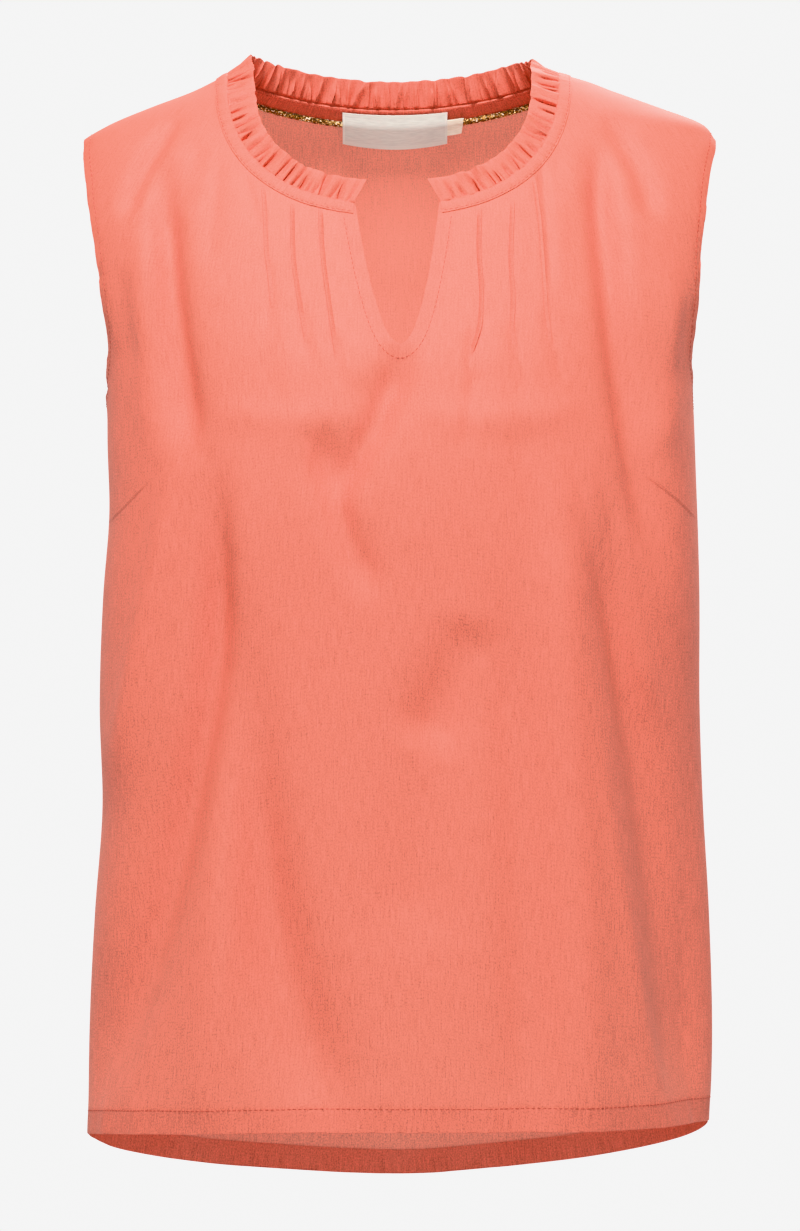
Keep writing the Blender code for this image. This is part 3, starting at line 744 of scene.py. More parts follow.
class WornCloth:
    """The blouse's outer surface: the form, with folds, drifts, seam valleys and ripples on it."""

    FOLD_PIECES = 20
    NEAR = 2.8
    HEAD_FADE = 0.3
    FOOT_FADE = 0.22
    SEAM_VALLEY = 0.5
    SEAM_REACH = 1.8

    def __init__(self, folds: Sequence[Fold]) -> None:
        """Keep the folds, and draw the cloth's uneven drifts.

        Args:
            folds: The folds that the cloth has.
        """
        self.folds = tuple(folds)
        self.broad, self.fine = SoftNoise(11), SoftNoise(23)
        self.ripples = [Ripple(armhole_line(side), 0.7, 9.0, 7.0, SoftNoise(31 + side)) for side in Side]
        self.ripples += [Ripple(hem_line(face), 0.9, 11.0, 16.0, SoftNoise(41 + face)) for face in Face]
        self.ripples.append(Ripple(notch_line(), 0.35, 8.0, 7.0, SoftNoise(53)))

    def _fold(self, fold: Fold, flat: Array) -> Array:
        """How far one fold moves each (x, z) place out.

        Args:
            fold: The fold.
            flat: The (x, z) places.

        Returns:
            The rise at each.
        """
        t = np.linspace(0, 1, self.FOLD_PIECES + 1)[:, None]
        head, middle, foot = (np.array(place, float) for place in (fold.head, fold.middle, fold.foot))
        line = (1 - t) * (1 - 2 * t) * head + 4 * t * (1 - t) * middle + t * (2 * t - 1) * foot
        nearest, along = np.full(len(flat), np.inf), np.zeros(len(flat))
        for number, (start, step) in enumerate(zip(line, np.diff(line, axis=0))):
            share = np.clip((flat - start) @ step / (step @ step), 0, 1)
            away = np.linalg.norm(flat - start - share[:, None] * step, axis=1)
            along = np.where(away < nearest, (number + share) / self.FOLD_PIECES, along)
            nearest = np.minimum(nearest, away)
        reach = fold.head_width + (fold.foot_width - fold.head_width) * along
        fade = smooth_step(along / self.HEAD_FADE) * smooth_step((1 - along) / self.FOOT_FADE)
        return fold.rise * fade * np.exp(-((nearest / reach) ** 2))

    def rise(self, places: Array) -> Array:
        """How far the worn cloth lies outside the form.

        Args:
            places: Places on the form.

        Returns:
            The rise at each of them.
        """
        flat = places[..., [0, 2]].reshape(-1, 2)
        x, z = flat.T
        y = places[..., 1].reshape(-1)
        total = np.zeros(len(flat))
        for face in Face:
            ours = (y < 0) == (face == FRONT)
            for fold in self.folds:
                line = np.array((fold.head, fold.middle, fold.foot))
                margin = self.NEAR * max(fold.head_width, fold.foot_width)
                low, high = line.min(axis=0) - margin, line.max(axis=0) + margin
                near = np.flatnonzero(ours & ((flat > low) & (flat < high)).all(axis=1))
                if fold.face == face and len(near):
                    total[near] += self._fold(fold, flat[near])
        away = np.abs(y)
        total *= smooth_step(away / SEAM_FADE)
        turned = np.where(y < 0, 0.0, 17.5)
        drift = 0.8 * self.broad.at(x / 42 + turned + 0.25 * z / 90, z / 170)
        drift += 0.35 * self.fine.at(x / 19 + turned, z / 75) + 0.12 * self.fine.at(x / 8, z / 22 + turned)
        total += drift * smooth_step(away / (SEAM_FADE / 2)) * smooth_step((-30 - z) / 60 + 0.2)
        beside = np.exp(-(((np.abs(x) - 62) / 24) ** 4))
        beside = beside * smooth_step((z + 178) / 30) * smooth_step((-62 - z) / 14)
        total += 0.3 * self.fine.at(x / 4.2 + 5, z / 55) * beside * (y < 0)
        total -= self.SEAM_VALLEY * np.exp(-((away / self.SEAM_REACH) ** 2))
        for ripple in self.ripples:
            total += ripple.rise(places.reshape(-1, 3))
        return total.reshape(places.shape[:-1])

    def lifted(self, places: Array, lift: Array | float) -> Array:
        """Places at a height over the cloth, from places on the form."""
        height = self.rise(places) + lift
        return places + outward(places) * height[..., None]


# ---------------------------------------------------------------- meshes
@dataclass
class Mesh:
    """Places in millimetres, faces, and lengths along the cloth's own threads at each place."""

    places: Array
    faces: list[Sequence[int]]
    threads: Array

    @staticmethod
    def joined(parts: Sequence["Mesh"]) -> "Mesh":
        """Put several meshes into one.

        Args:
            parts: The meshes, each with the same kinds of values.

        Returns:
            One mesh.
        """
        faces, first = [], 0
        for part in parts:
            faces += [[corner + first for corner in face] for face in part.faces]
            first += len(part.places)
        places = np.concatenate([part.places for part in parts])
        return Mesh(places, faces, np.concatenate([part.threads for part in parts]))


def grid_quads(rows: int, columns: int, first: int = 0) -> Array:
    """Four-cornered faces of a grid of places.

    Args:
        rows: How many rows.
        columns: How many columns.
        first: Number of the first place.

    Returns:
        Corner numbers, four to a face.
    """
    index = first + np.arange(rows * columns).reshape(rows, columns)
    corners = (index[:-1, :-1], index[:-1, 1:], index[1:, 1:], index[1:, :-1])
    return np.stack(corners, axis=-1).reshape(-1, 4)


def closed_wall(outer: Array, inner: Array, quads: Array, threads: Array) -> Mesh:
    """A wall from its two faces and the strip that joins their edges.

    Args:
        outer: Places of the outer face.
        inner: Places of the inner face, in the same order.
        quads: The outer face's corners.
        threads: Lengths along the cloth's threads at each place.

    Returns:
        The closed mesh.
    """
    count = len(outer)
    half_edges = np.concatenate([quads[:, [k, (k + 1) % 4]] for k in range(4)])
    known = {tuple(edge) for edge in half_edges.tolist()}
    rim = [(a, b) for a, b in known if (b, a) not in known]
    faces = quads.tolist() + (quads[:, ::-1] + count).tolist()
    faces += [(b, a, a + count, b + count) for a, b in sorted(rim)]
    return Mesh(np.concatenate([outer, inner]), faces, np.concatenate([threads, threads]))


def strip_wall(outer: Array, inner: Array) -> Mesh:
    """A closed wall from two grids of places, rows by columns; its threads follow the grid's lengths.

    Args:
        outer: The outer face.
        inner: The inner face.

    Returns:
        The closed mesh.
    """
    rows, columns = outer.shape[:2]
    along = np.linalg.norm(np.diff(outer, axis=1), axis=-1).mean(axis=0)
    across = np.linalg.norm(np.diff(outer, axis=0), axis=-1).mean(axis=1)
    u = np.concatenate([[0.0], np.cumsum(along)])
    v = np.concatenate([[0.0], np.cumsum(across)])
    threads = np.stack(np.meshgrid(u, v), axis=-1).reshape(-1, 2)
    return closed_wall(outer.reshape(-1, 3), inner.reshape(-1, 3), grid_quads(rows, columns), threads)


def make_piece(
    name: str, mesh: Mesh, material: bpy.types.Material, sharp: float = SMOOTH_BELOW
) -> bpy.types.Object:
    """Make one named object that rides with the blouse.

    Args:
        name: The piece's name.
        mesh: Its places and faces.
        material: Its finish.
        sharp: Edges steeper than this many degrees are drawn sharp.

    Returns:
        The object.
    """
    data = bpy.data.meshes.new(name)
    data.from_pydata((mesh.places * METRES_PER_MM).tolist(), [], mesh.faces)
    layer = data.uv_layers.new(name="threads")
    corners = np.empty(len(data.loops), np.int32)
    data.loops.foreach_get("vertex_index", corners)
    layer.data.foreach_set("uv", (mesh.threads[corners] * METRES_PER_MM).astype(np.float32).ravel())
    data.materials.append(material)
    data.shade_smooth()
    data.set_sharp_from_angle(angle=math.radians(sharp))
    piece = bpy.data.objects.new(name, data)
    bpy.context.scene.collection.objects.link(piece)
    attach(piece, BODY)
    log.info("%s: %d places, %d faces", name, len(mesh.places), len(mesh.faces))
    return piece


# ---------------------------------------------------------------- finishes
def linear(code: str) -> tuple[float, float, float, float]:
    """Turn an sRGB hex colour to linear light, with full cover.

    Args:
        code: The hex colour.

    Returns:
        Red, green, blue and cover.
    """
    shares = [int(code[k : k + 2], 16) / 255 for k in (1, 3, 5)]
    red, green, blue = (s / 12.92 if s <= 0.04045 else ((s + 0.055) / 1.055) ** 2.4 for s in shares)
    return red, green, blue, 1.0


def add_node(
    tree: bpy.types.NodeTree,
    kind: str,
    settings: dict[str | int, Any] | None = None,
    links: dict[str | int, bpy.types.NodeSocket] | None = None,
) -> bpy.types.Node:
    """Add a node with its settings and links.

    Args:
        tree: The material's node tree.
        kind: Blender's name for the kind of node.
        settings: Values by the name of a property, or by the name or number of an input.
        links: Sockets by the name or number of the input that they feed.

    Returns:
        The new node.
    """
    made = tree.nodes.new(kind)
    for key, value in (settings or {}).items():
        if isinstance(key, str) and hasattr(made, key):
            setattr(made, key, value)
        else:
            made.inputs[key].default_value = value
    for key, socket in (links or {}).items():
        tree.links.new(socket, made.inputs[key])
    return made


@dataclass(frozen=True)
class Finish:
    """What every finish has: a name and a Principled shader whose patterns run along the cloth's threads."""

    name: str
    roughness: float = 0.6

    def start(self) -> tuple[bpy.types.Material, bpy.types.NodeTree, bpy.types.Node, bpy.types.NodeSocket]:
        """A new material, its tree, its shader and the socket with lengths along the threads, in metres.

        Returns:
            Those four.
        """
        material = bpy.data.materials.new(self.name)
        material.use_nodes = True
        tree = material.node_tree
        shader = tree.nodes["Principled BSDF"]
        shader.inputs["Roughness"].default_value = self.roughness
        threads = add_node(tree, "ShaderNodeUVMap", {"uv_map": "threads"}).outputs["UV"]
        return material, tree, shader, threads

    def grain(
        self,
        tree: bpy.types.NodeTree,
        at: bpy.types.NodeSocket,
        across: float,
        along: float,
        detail: float = 1.0,
    ) -> bpy.types.NodeSocket:
        """Irregular streaks of a real size.

        Args:
            tree: The material's node tree.
            at: Places in metres.
            across: Size of a streak one way, in millimetres.
            along: Its size the other way.
            detail: How many finer layers it has.

        Returns:
            The socket with its strength, about 0 to 1.
        """
        scale = (1 / (across * METRES_PER_MM), 1 / (along * METRES_PER_MM), 1)
        mapped = add_node(tree, "ShaderNodeMapping", {"Scale": scale}, {"Vector": at})
        settings = {"Scale": 1.0, "Detail": detail, "Roughness": 0.55}
        return add_node(tree, "ShaderNodeTexNoise", settings, {"Vector": mapped.outputs[0]}).outputs["Fac"]

    def weighed(
        self, tree: bpy.types.NodeTree, parts: Sequence[tuple[bpy.types.NodeSocket, float]]
    ) -> bpy.types.NodeSocket:
        """Add up patterns, each with its weight.

        Args:
            tree: The material's node tree.
            parts: Each pattern's socket and its weight.

        Returns:
            The socket with the sum.
        """
        total = None
        for socket, weight in parts:
            times = {"operation": "MULTIPLY", 1: weight}
            part = add_node(tree, "ShaderNodeMath", times, {0: socket}).outputs[0]
            if total is None:
                total = part
            else:
                total = add_node(tree, "ShaderNodeMath", {"operation": "ADD"}, {0: total, 1: part}).outputs[0]
        return total

    def blend(
        self,
        tree: bpy.types.NodeTree,
        share: bpy.types.NodeSocket,
        low: str | bpy.types.NodeSocket,
        high: str | bpy.types.NodeSocket,
        start: float,
        end: float,
    ) -> bpy.types.NodeSocket:
        """A colour that goes from one to another as a strength goes from start to end.

        Args:
            tree: The material's node tree.
            share: The strength.
            low: Hex colour or socket below start.
            high: Hex colour or socket above end.
            start: Where the change starts.
            end: Where it ends.

        Returns:
            The colour socket.
        """
        ranged = add_node(tree, "ShaderNodeMapRange", {1: start, 2: end}, {0: share})
        mix = add_node(tree, "ShaderNodeMix", {"data_type": "RGBA"}, {0: ranged.outputs[0]})
        for number, colour in ((6, low), (7, high)):
            if isinstance(colour, str):
                mix.inputs[number].default_value = linear(colour)
            else:
                tree.links.new(colour, mix.inputs[number])
        return mix.outputs[2]

    def coat(
        self,
        tree: bpy.types.NodeTree,
        shader: bpy.types.Node,
        colour: bpy.types.NodeSocket,
        height: bpy.types.NodeSocket | None = None,
        depth: float = 0.0,
        strength: float = 1.0,
    ) -> None:
        """Give the shader its colour, and its relief where it has one.

        Args:
            tree: The material's node tree.
            shader: The material's shader.
            colour: The colour's socket.
            height: The relief's pattern.
            depth: The relief's real depth, in millimetres.
            strength: How much of it shows.
        """
        tree.links.new(colour, shader.inputs["Base Color"])
        if height is not None:
            settings = {"Strength": strength, "Distance": depth * METRES_PER_MM}
            relief = add_node(tree, "ShaderNodeBump", settings, {"Height": height})
            tree.links.new(relief.outputs[0], shader.inputs["Normal"])


@dataclass(frozen=True)
class WovenViscose(Finish):
    """Viscose cloth, woven plain from slubbed yarn and piece-dyed coral.

    The slubs give it fine upright lines, the crepe-like yarn a grain, and the filaments a soft gleam. Its
    colour
    follows the relief: lighter on the raised slubs, and darker where the weave dips, which is painted shade in
    its hollows. The real threads are 0.35 mm apart, too fine to show, so warp and crepe are drawn 0.75 mm
    wide.
    """

    colour: str = "#DA7866"
    # painted shade for the weave's hollows, together with the yarn's own darker tone
    shade: str = "#AC5C4E"
    light: str = "#F88B78"
    warp_width: float = 0.75
    slub_length: float = 12.0
    crepe_size: float = 0.75
    mottle_size: float = 42.0
    warp_weight: float = 0.35
    weft_weight: float = 0.1
    crepe_weight: float = 0.55
    relief: float = 0.3
    sheen: float = 0.06
    sheen_tint: str = "#FFC9B8"
    lit_through: str = "#FFC4B0"
    thinness: float = 0.13  # share of the light that the thin cloth lets through

    def material(self) -> bpy.types.Material:
        """Build the cloth's material.

        Returns:
            The material.
        """
        material, tree, shader, at = self.start()
        warp = self.grain(tree, at, self.warp_width, self.slub_length, 2.0)
        weft = self.grain(tree, at, self.slub_length * 0.7, self.warp_width, 1.0)
        crepe = self.grain(tree, at, self.crepe_size, self.crepe_size * 1.5, 2.0)
        mottle = self.grain(tree, at, self.mottle_size, self.mottle_size * 2, 2.0)
        weights = (self.warp_weight, self.weft_weight, self.crepe_weight)
        height = self.weighed(tree, list(zip((warp, weft, crepe), weights)))
        # the colour darkens where the relief dips: painted shade in the weave's hollows, with the yarn's own
        # uneven tone
        dark = self.blend(tree, height, self.shade, self.colour, 0.36, 0.5)
        full = self.blend(tree, height, dark, self.light, 0.5, 0.66)
        washed = self.blend(tree, mottle, full, self.light, 0.62, 3.0)
        shader.inputs["Sheen Weight"].default_value = self.sheen
        shader.inputs["Sheen Roughness"].default_value = 0.4
        shader.inputs["Sheen Tint"].default_value = linear(self.sheen_tint)
        self.coat(tree, shader, washed, height, self.relief, 0.7)
        through = add_node(tree, "ShaderNodeBsdfTranslucent", {"Color": linear(self.lit_through)})
        sides = {1: shader.outputs[0], 2: through.outputs[0]}
        thin = add_node(tree, "ShaderNodeMixShader", {0: self.thinness}, sides)
        tree.links.new(thin.outputs[0], tree.nodes["Material Output"].inputs["Surface"])
        return material


@dataclass(frozen=True)
class PolyesterThread(Finish):
    """Spun polyester thread with a twist, dyed to match; drawn darker than the cloth as painted groove shade.
    """

    # much darker than the cloth: painted shade of the stitch holes and their groove, over the thread's own
    # tone
    colour: str = "#A8483A"
    light: str = "#C25F4C"

    def material(self) -> bpy.types.Material:
        """Build the thread's material.

        Returns:
            The material.
        """
        material, tree, shader, at = self.start()
        twist = self.grain(tree, at, 0.6, 0.6)
        self.coat(tree, shader, self.blend(tree, twist, self.colour, self.light, 0.4, 0.75))
        return material


@dataclass(frozen=True)
class MetallisedYarn(Finish):
    """Glitter yarn, a slit metallised film twisted round a dark core: near-black with gold in its turns."""

    core: str = "#33231A"
    film: str = "#B98A45"

    def material(self) -> bpy.types.Material:
        """Build the cord's material.

        Returns:
            The material.
        """
        material, tree, shader, at = self.start()
        turns = self.grain(tree, at, 0.9, 0.7, 2.0)
        shader.inputs["Metallic"].default_value = 0.6
        self.coat(tree, shader, self.blend(tree, turns, self.core, self.film, 0.45, 0.62), turns, 0.3, 0.8)
        return material


@dataclass(frozen=True)
class GlitterFilm(Finish):
    """Slit polyester film with a vapour-coated metal layer: a flat, bright facet."""

    colour: str = "#E8C27A"
    metallic: float = 1.0
    glint: str = "#FFF1CF"

    def material(self) -> bpy.types.Material:
        """Build one tone of film.

        Returns:
            The material.
        """
        material, tree, shader, at = self.start()
        drift = self.grain(tree, at, 2.0, 2.0)
        self.coat(tree, shader, self.blend(tree, drift, self.colour, self.glint, 0.5, 1.2))
        shader.inputs["Metallic"].default_value = self.metallic
        return material


@dataclass(frozen=True)
class WovenSatin(Finish):
    """Polyester label satin, woven with long floats: fine lines across, a soft gleam, a paler woven edge."""

    colour: str = "#C3D2CE"
    light: str = "#CFDEDA"
    border: str = "#D2E0DC"
    length: float = 62.0
    height: float = 20.0
    border_width: float = 1.4
    border_blur: float = 0.0001

    def material(self) -> bpy.types.Material:
        """Build the label's material; its edge is found from the lengths along its threads.

        Returns:
            The material.
        """
        material, tree, shader, at = self.start()
        floats = self.grain(tree, at, 6.0, 0.8, 1.0)
        ground = self.blend(tree, floats, self.colour, self.light, 0.35, 0.65)
        split = add_node(tree, "ShaderNodeSeparateXYZ", links={0: at})
        inside = None
        for number, size in ((0, self.length), (1, self.height)):
            middle = size / 2 * METRES_PER_MM
            ground_ends = middle - self.border_width * METRES_PER_MM
            away = split.outputs[number]
            for operation in ({"operation": "SUBTRACT", 1: middle}, {"operation": "ABSOLUTE"},
                              {"operation": "SUBTRACT", 1: ground_ends}):
                away = add_node(tree, "ShaderNodeMath", operation, {0: away}).outputs[0]
            if inside is None:
                inside = away
            else:
                both = {0: inside, 1: away}
                inside = add_node(tree, "ShaderNodeMath", {"operation": "MAXIMUM"}, both).outputs[0]
        edged = self.blend(tree, inside, ground, self.border, -self.border_blur, self.border_blur)
        shader.inputs["Sheen Weight"].default_value = 0.2
        self.coat(tree, shader, edged, floats, 0.12, 0.5)
        return material


@dataclass(frozen=True)
class CottonTape(Finish):
    """Narrow cotton tape, woven plain and left undyed: matt cream with visible weft lines."""

    colour: str = "#D8DFCF"
    light: str = "#E8F0E4"

    def material(self) -> bpy.types.Material:
        """Build the tape's material.

        Returns:
            The material.
        """
        material, tree, shader, at = self.start()
        weft = self.grain(tree, at, 5.0, 0.8, 1.0)
        self.coat(tree, shader, self.blend(tree, weft, self.colour, self.light, 0.35, 0.65), weft, 0.15, 0.6)
        return material


@dataclass(frozen=True)
class Finishes:
    """The blouse's finishes, each made once."""

    cloth: bpy.types.Material
    thread: bpy.types.Material
    cord: bpy.types.Material
    films: tuple[bpy.types.Material, ...]
    label: bpy.types.Material
    tab: bpy.types.Material

    @staticmethod
    def made() -> "Finishes":
        """Make every finish.

        Returns:
            The finishes.
        """
        films = (
            GlitterFilm("gold_metallised_film", 0.3, "#EBC988", 0.5).material(),
            GlitterFilm("pale_gold_metallised_film", 0.35, "#FFF6DC", 0.2).material(),
            GlitterFilm("brown_metallised_film", 0.4, "#3A271C", 0.6).material(),
        )
        return Finishes(
            WovenViscose("coral_woven_viscose", 0.64).material(),
            PolyesterThread("coral_polyester_thread", 0.55).material(),
            MetallisedYarn("dark_metallised_yarn", 0.4).material(),
            films,
            WovenSatin("grey_woven_satin", 0.42).material(),
            CottonTape("cream_cotton_tape", 0.75).material(),
        )


CLOTH_SLOT, CORD_SLOT, LABEL_SLOT, TAB_SLOT = "coral_viscose", "gold_glitter_cord", "grey_satin", "cream_tape"


# ---------------------------------------------------------------- the panels
@dataclass
class Panel:
    """The front or the back, as one sheet from hem to neck and shoulder."""

    name: str
    face: Face
    cloth: WornCloth
    column_step: float = 2.4
    row_step: float = 2.75
    chest_row_count: int = 72
    chest_draw: float = 0.82  # how strongly the chest's rows draw together at the underarm and the shoulder
    seam_columns: tuple[float, ...] = (0.7, 1.9)  # extra columns next to the side seam
    seam_gap: float = 0.05
    edge_samples: int = 400

    def lanes(self) -> Array:
        """Where the columns cross the underarm row: evenly spaced along the cloth.

        Returns:
            The columns.
        """
        turn = np.linspace(0, math.pi / 2, 2000)
        width, depth = side_lane(), float(through(SECTIONS, self.face.name.lower(), UNDERARM))
        power = 2 / float(through(SECTIONS, "squareness", UNDERARM))
        section = np.stack([width * np.sin(turn) ** power, depth * np.cos(turn) ** power], axis=-1)
        length = lengths_along(section)
        even = np.linspace(0, length[-1], round(length[-1] / self.column_step) + 1)
        wanted = sorted([*even.tolist(), *(length[-1] - gap for gap in self.seam_columns)])
        return np.interp(wanted, length, section[:, 0])

    def split_height(self, lane: Array) -> Array:
        """Height of the row between body and chest, through the notch's foot and the underarm."""
        middle = NOTCH_FOOT if self.face == FRONT else UNDERARM + BACK_SPLIT_RISE
        return middle + (UNDERARM - middle) * smooth_step(lane / side_lane())

    def upper_edge(self, side: Side, q: Array) -> tuple[Array, Array]:
        """(x, z) on the upper edge: q is 0 to 1 along the neck and 1 to 2 along the shoulder.

        Args:
            side: Left or right.
            q: Shares of the edge.

        Returns:
            X and z.
        """
        turn = first_turn(side, self.face) * (1 - np.clip(q, 0, 1))
        neck_x, neck_z = neck_place(side, self.face, turn)
        seam_z = SHOULDER_TIP * np.clip(q - 1, 0, 1)
        seam_x = side * through(SECTIONS, side_name(side), seam_z)
        return np.where(q < 1, neck_x, seam_x), np.where(q < 1, neck_z, seam_z)

    def upper_ends(self, side: Side, lanes: Array) -> Array:
        """(x, z) where each column meets the upper edge.

        Args:
            side: Left or right.
            lanes: The columns.

        Returns:
            The places.
        """
        q = np.linspace(0, 2, 2 * self.edge_samples + 1)
        length = lengths_along(on_form(*self.upper_edge(side, q), self.face))
        knots = [0.0, NECK_POINT_LANE, side_lane()]
        ends = np.interp(lanes, knots, [0.0, length[self.edge_samples], length[-1]])
        return np.stack(self.upper_edge(side, np.interp(ends, length, q)), axis=-1)

    def chest_rows(self, side: Side, lanes: Array) -> Array:
        """(x, z) from the split row up to the upper edge: a patch blended from its four edges.

        Args:
            side: Left or right.
            lanes: The columns.

        Returns:
            The places.
        """
        share = np.linspace(0, 1, self.chest_row_count + 1)
        rise = share - self.chest_draw * np.sin(2 * np.pi * share) / (2 * np.pi)
        width = through(SECTIONS, side_name(side), UNDERARM)
        bottom = np.stack([side * lanes * width / side_lane(), self.split_height(lanes)], axis=-1)
        top = self.upper_ends(side, lanes)
        inner_z = bottom[0, 1] + (top[0, 1] - bottom[0, 1]) * rise
        inner_x = notch_edge(side, inner_z) if self.face == FRONT else NECK_CENTRE_X * rise
        outer_z = UNDERARM + (SHOULDER_TIP - UNDERARM) * rise
        inner = np.stack([inner_x, inner_z], axis=-1)[:, None]
        outer = np.stack([armhole_edge(side, outer_z), outer_z], axis=-1)[:, None]
        u, v = (lanes / lanes[-1])[None, :, None], rise[:, None, None]
        corners = (1 - v) * ((1 - u) * bottom[0] + u * bottom[-1]) + v * ((1 - u) * top[0] + u * top[-1])
        return (1 - v) * bottom[None] + v * top[None] + (1 - u) * inner + u * outer - corners

    def body_rows(self, side: Side, lanes: Array) -> Array:
        """(x, z) from the hem's edge up to just below the split row.

        Args:
            side: Left or right.
            lanes: The columns.

        Returns:
            The places.
        """
        hem, split = hem_height(side, self.face, lanes), self.split_height(lanes)
        count = round((split - hem).mean() / self.row_step)
        z = hem + (split - hem) * np.linspace(0, 1, count + 1)[:-1, None]
        width = through(SECTIONS, side_name(side), z)
        return np.stack([side * width * lanes / side_lane(), z], axis=-1)

    def half(self, side: Side) -> tuple[Array, Array, Array]:
        """Places, faces and thread lengths of one half, from the hem up and from the middle out.

        Args:
            side: Left or right.

        Returns:
            Those three.
        """
        lanes = self.lanes()
        body = self.body_rows(side, lanes)
        flat = np.concatenate([body, self.chest_rows(side, lanes)])
        places = on_form(flat[..., 0], flat[..., 1], self.face)
        outer = self.cloth.lifted(places, 0.0)
        outer[..., 1] = self.face * np.maximum(self.face * outer[..., 1], self.seam_gap / 2)
        across = np.linalg.norm(np.diff(outer, axis=1), axis=-1)
        u = np.concatenate([np.abs(places[:, :1, 0]), across], axis=1).cumsum(axis=1) * side
        up = np.linalg.norm(np.diff(outer, axis=0), axis=-1)
        v = np.concatenate([np.zeros((1, up.shape[1])), up]).cumsum(axis=0)
        threads = np.stack([u, v - v[len(body)]], axis=-1).reshape(-1, 2)
        rows, columns = outer.shape[:2]
        quads = grid_quads(rows, columns)
        faces = quads if side * self.face == Side.LEFT else quads[:, ::-1]
        return outer.reshape(-1, 3), faces, threads

    def mesh(self) -> Mesh:
        """Both halves, joined down the middle as far up as the notch.

        Returns:
            The mesh.
        """
        left, right = self.half(Side.LEFT), self.half(Side.RIGHT)
        places, threads = (np.concatenate([left[k], right[k]]) for k in (0, 2))
        quads = np.concatenate([left[1], right[1] + len(left[0])])
        _, kept, index = np.unique(np.round(places, 3), axis=0, return_index=True, return_inverse=True)
        return Mesh(places[kept], index.reshape(-1)[quads].tolist(), threads[kept])

    def build(self, finishes: Finishes) -> bpy.types.Object:
        """Make the panel in place of its solid.

        Args:
            finishes: The materials.

        Returns:
            The piece.
        """
        piece = make_piece(self.name + "_cloth", self.mesh(), finishes.cloth)
        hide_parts(self.name)
        return piece


# ---------------------------------------------------------------- strips on and in the cloth
@dataclass
class InsideStrip:
    """A turned hem, a facing or a seam allowance: a strip of the cloth that lies inside an edge."""

    name: str
    line: FormLine
    cloth: WornCloth
    far: float
    near: float = 0.4
    wrapped: bool = True  # the cloth turns round the edge, instead of lying loose inside it
    depth: float = 0.6
    wall: float = 0.4
    step: float = 3.0
    rows: int = 5
    margin: float = 0.0
    INNER_GAP: ClassVar[float] = 0.1
    WRAP: ClassVar[tuple[tuple[float, float], ...]] = ((0.5, -0.03), (0.0, 0.02), (-0.25, 0.3))

    def build(self, finishes: Finishes) -> bpy.types.Object:
        """Make the strip.

        Args:
            finishes: The materials.

        Returns:
            The piece.
        """
        at = self.line.spaced(self.step, self.margin)
        outer, inner = [], []
        flat = [(float(distance), self.depth) for distance in np.linspace(self.near, self.far, self.rows)]
        for distance, depth in (*(self.WRAP if self.wrapped else ()), *flat):
            place, normal = self.line.beside(at, distance)
            over = self.cloth.rise(place)[:, None] * normal + place
            outer.append(over - normal * depth)
            inner.append(over - normal * (self.depth + self.wall + self.INNER_GAP))
        return make_piece(self.name, strip_wall(np.array(outer), np.array(inner)), finishes.cloth)


@dataclass
class PinTucks:
    """Narrow stitched folds that stand on the front: a slope up to the fold, and a step behind it."""

    name: str
    lines: Sequence[TuckLine]
    cloth: WornCloth
    slope: float = 2.3
    step: float = 0.3
    rise: float = 1.45
    spacing: float = 0.9
    end_fade: float = 9.0
    EASED_OVER: ClassVar[int] = 9  # places each way over which a line's corners are rounded

    def one(self, line: TuckLine) -> Mesh:
        """The mesh of one tuck.

        Args:
            line: The tuck's line.

        Returns:
            The mesh.
        """
        path = np.array(line.places, float)
        length = lengths_along(path)
        at = np.linspace(0, length[-1], round(length[-1] / self.spacing) + 1)
        smooth = np.stack([self._eased(at, length, path[:, k]) for k in (0, 1)], axis=-1)
        ahead = unit(np.gradient(smooth, axis=0))
        aside = np.stack([-ahead[:, 1], ahead[:, 0]], axis=-1)
        aside *= np.sign(aside[:, :1]) * line.side
        fade = smooth_step(np.minimum(at, length[-1] - at) / self.end_fade + 0.15)
        profile = (
            (-self.slope, -0.12), (-self.slope * 0.6, 0.3), (-self.slope * 0.22, 0.85), (0.0, 1.0),
            (self.step, 0.96), (self.step * 1.35, 0.74), (self.step * 1.0, 0.5), (0.0, 0.35), (-0.3, -0.2),
        )
        outer, inner = [], []
        for shift, height in profile:
            flat = smooth + aside * shift
            place = on_form(flat[:, 0], flat[:, 1], FRONT)
            lift = np.where(height > 0, self.rise * height * line.rise * fade, -0.15)
            outer.append(self.cloth.lifted(place, lift))
            inner.append(self.cloth.lifted(place, np.minimum(lift, 0) - 0.25))
        return strip_wall(np.array(outer), np.array(inner))

    @staticmethod
    def _eased(at: Array, length: Array, values: Array) -> Array:
        """A curve through a line's values, without corners.

        Args:
            at: Lengths along the line.
            length: Known lengths.
            values: The values there.

        Returns:
            The smooth values.
        """
        even = np.interp(at, length, values)
        width = PinTucks.EASED_OVER
        padded = np.concatenate([np.full(width, even[0]), even, np.full(width, even[-1])])
        window = np.hanning(2 * width + 3)[1:-1]
        eased = np.convolve(padded, window / window.sum(), mode="valid")
        share = smooth_step(np.minimum(np.arange(len(at)), np.arange(len(at))[::-1]) / width)
        return eased * share + even * (1 - share)

    def build(self, finishes: Finishes) -> bpy.types.Object:
        """Make all the tucks as one piece."""
        mesh = Mesh.joined([self.one(line) for line in self.lines])
        return make_piece(self.name, mesh, finishes.cloth, sharp=75.0)


